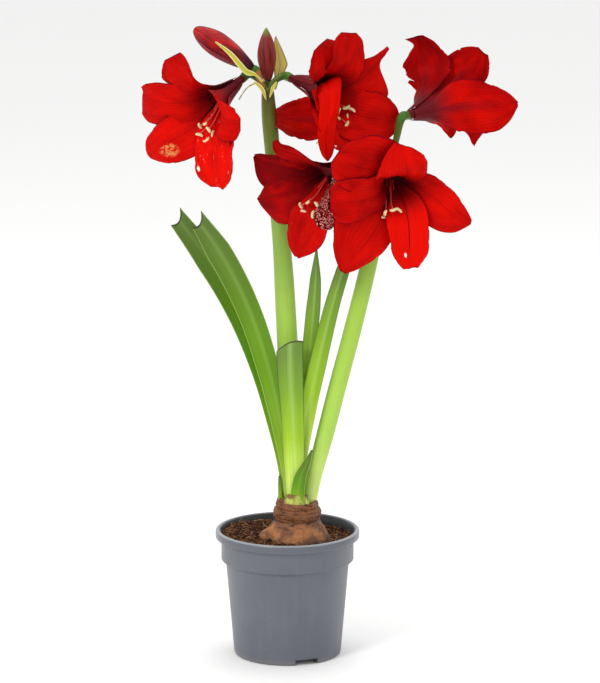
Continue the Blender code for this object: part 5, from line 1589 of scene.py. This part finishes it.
def buildPot(look, finish):
    rim, top, collar, collarEnd, body, base = (
        look[name] for name in ("rim", "height", "collar", "collarBottom", "bodyTop", "base"))
    sheet, wall, floor, corner = (look[name] for name in ("lipSheet", "wall", "floor", "corner"))
    lip, inner = top - look["lipHeight"], rim - look["lipWidth"]
    profile = [
        (0.0, floor), (insideOf(look, floor), floor), (body - wall, collarEnd - 1.0), (collar - wall, collarEnd + 2.5),
        (collar - wall, lip), (inner - 0.4, top - 1.5), (inner, top - 0.6), (inner + 0.6, top - 0.1),
        (inner + 1.3, top),
        (rim - 1.5, top), (rim - 0.7, top - 0.25), (rim - 0.15, top - 0.9), (rim, top - 1.8), (rim, lip + 0.5),
        (rim - 0.4, lip), (rim - sheet, lip), (rim - sheet, top - sheet), (inner + sheet, top - sheet), (collar, lip),
        (collar, collarEnd + 0.6), (collar - 0.5, collarEnd), (body + 0.3, collarEnd - 1.8), (body, collarEnd - 2.6),
        (base, corner), (base - 0.8, 0.7), (base - corner, 0.0), (0.0, 0.0),
    ]
    pot = newObject("pot_turned", chain("pot", [(r * mm, 0.0, z * mm) for r, z in profile]))
    screw = pot.modifiers.new("turn", "SCREW")
    screw.steps = screw.render_steps = look["steps"]
    screw.use_merge_vertices = True
    screw.merge_threshold = 0.00001
    screw.use_normal_calculate = True
    cutters = []
    for index in range(look["notches"]):
        angle = math.radians(-90.0 + look["notchAngle"]) + 2 * math.pi * index / look["notches"]
        out = Vector((math.cos(angle), math.sin(angle), 0.0))
        bpy.ops.mesh.primitive_cube_add(size=1.0,
                                        location=out * (base - look["notchDepth"] + look["cutterLength"] / 2) * mm)
        notch = bpy.context.object
        notch.rotation_euler = (0.0, 0.0, angle)
        notch.scale = (look["cutterLength"] * mm, look["notchWidth"] * mm, 2.0 * look["notchHeight"] * mm)
        bpy.ops.mesh.primitive_cylinder_add(vertices=24, radius=look["drainRadius"] * mm, depth=look["drainDepth"] * mm,
                                            location=out * (base - look["drainInset"]) * mm)
        cutters += [notch, bpy.context.object]
    for cutter in cutters:
        cut = pot.modifiers.new("cut", "BOOLEAN")
        cut.operation, cut.solver, cut.object = "DIFFERENCE", "EXACT", cutter
    soften = pot.modifiers.new("soften", "BEVEL")
    soften.width, soften.segments, soften.limit_method = look["softEdge"], 2, "ANGLE"
    soften.angle_limit = math.radians(look["sharpAngle"])
    depsgraph = bpy.context.evaluated_depsgraph_get()
    mesh = bpy.data.meshes.new_from_object(pot.evaluated_get(depsgraph), depsgraph=depsgraph)
    for thing in (pot, *cutters):
        bpy.data.objects.remove(thing, do_unlink=True)
    mesh.materials.clear()
    mesh.materials.append(finish)
    mesh.shade_smooth()
    mesh.set_sharp_from_angle(angle=math.radians(look["sharpAngle"]))
    return mesh


showPiece("pot_shell", [buildPot(potLook, potFinish(potLook))], "pot", "pot")
print("the pot")
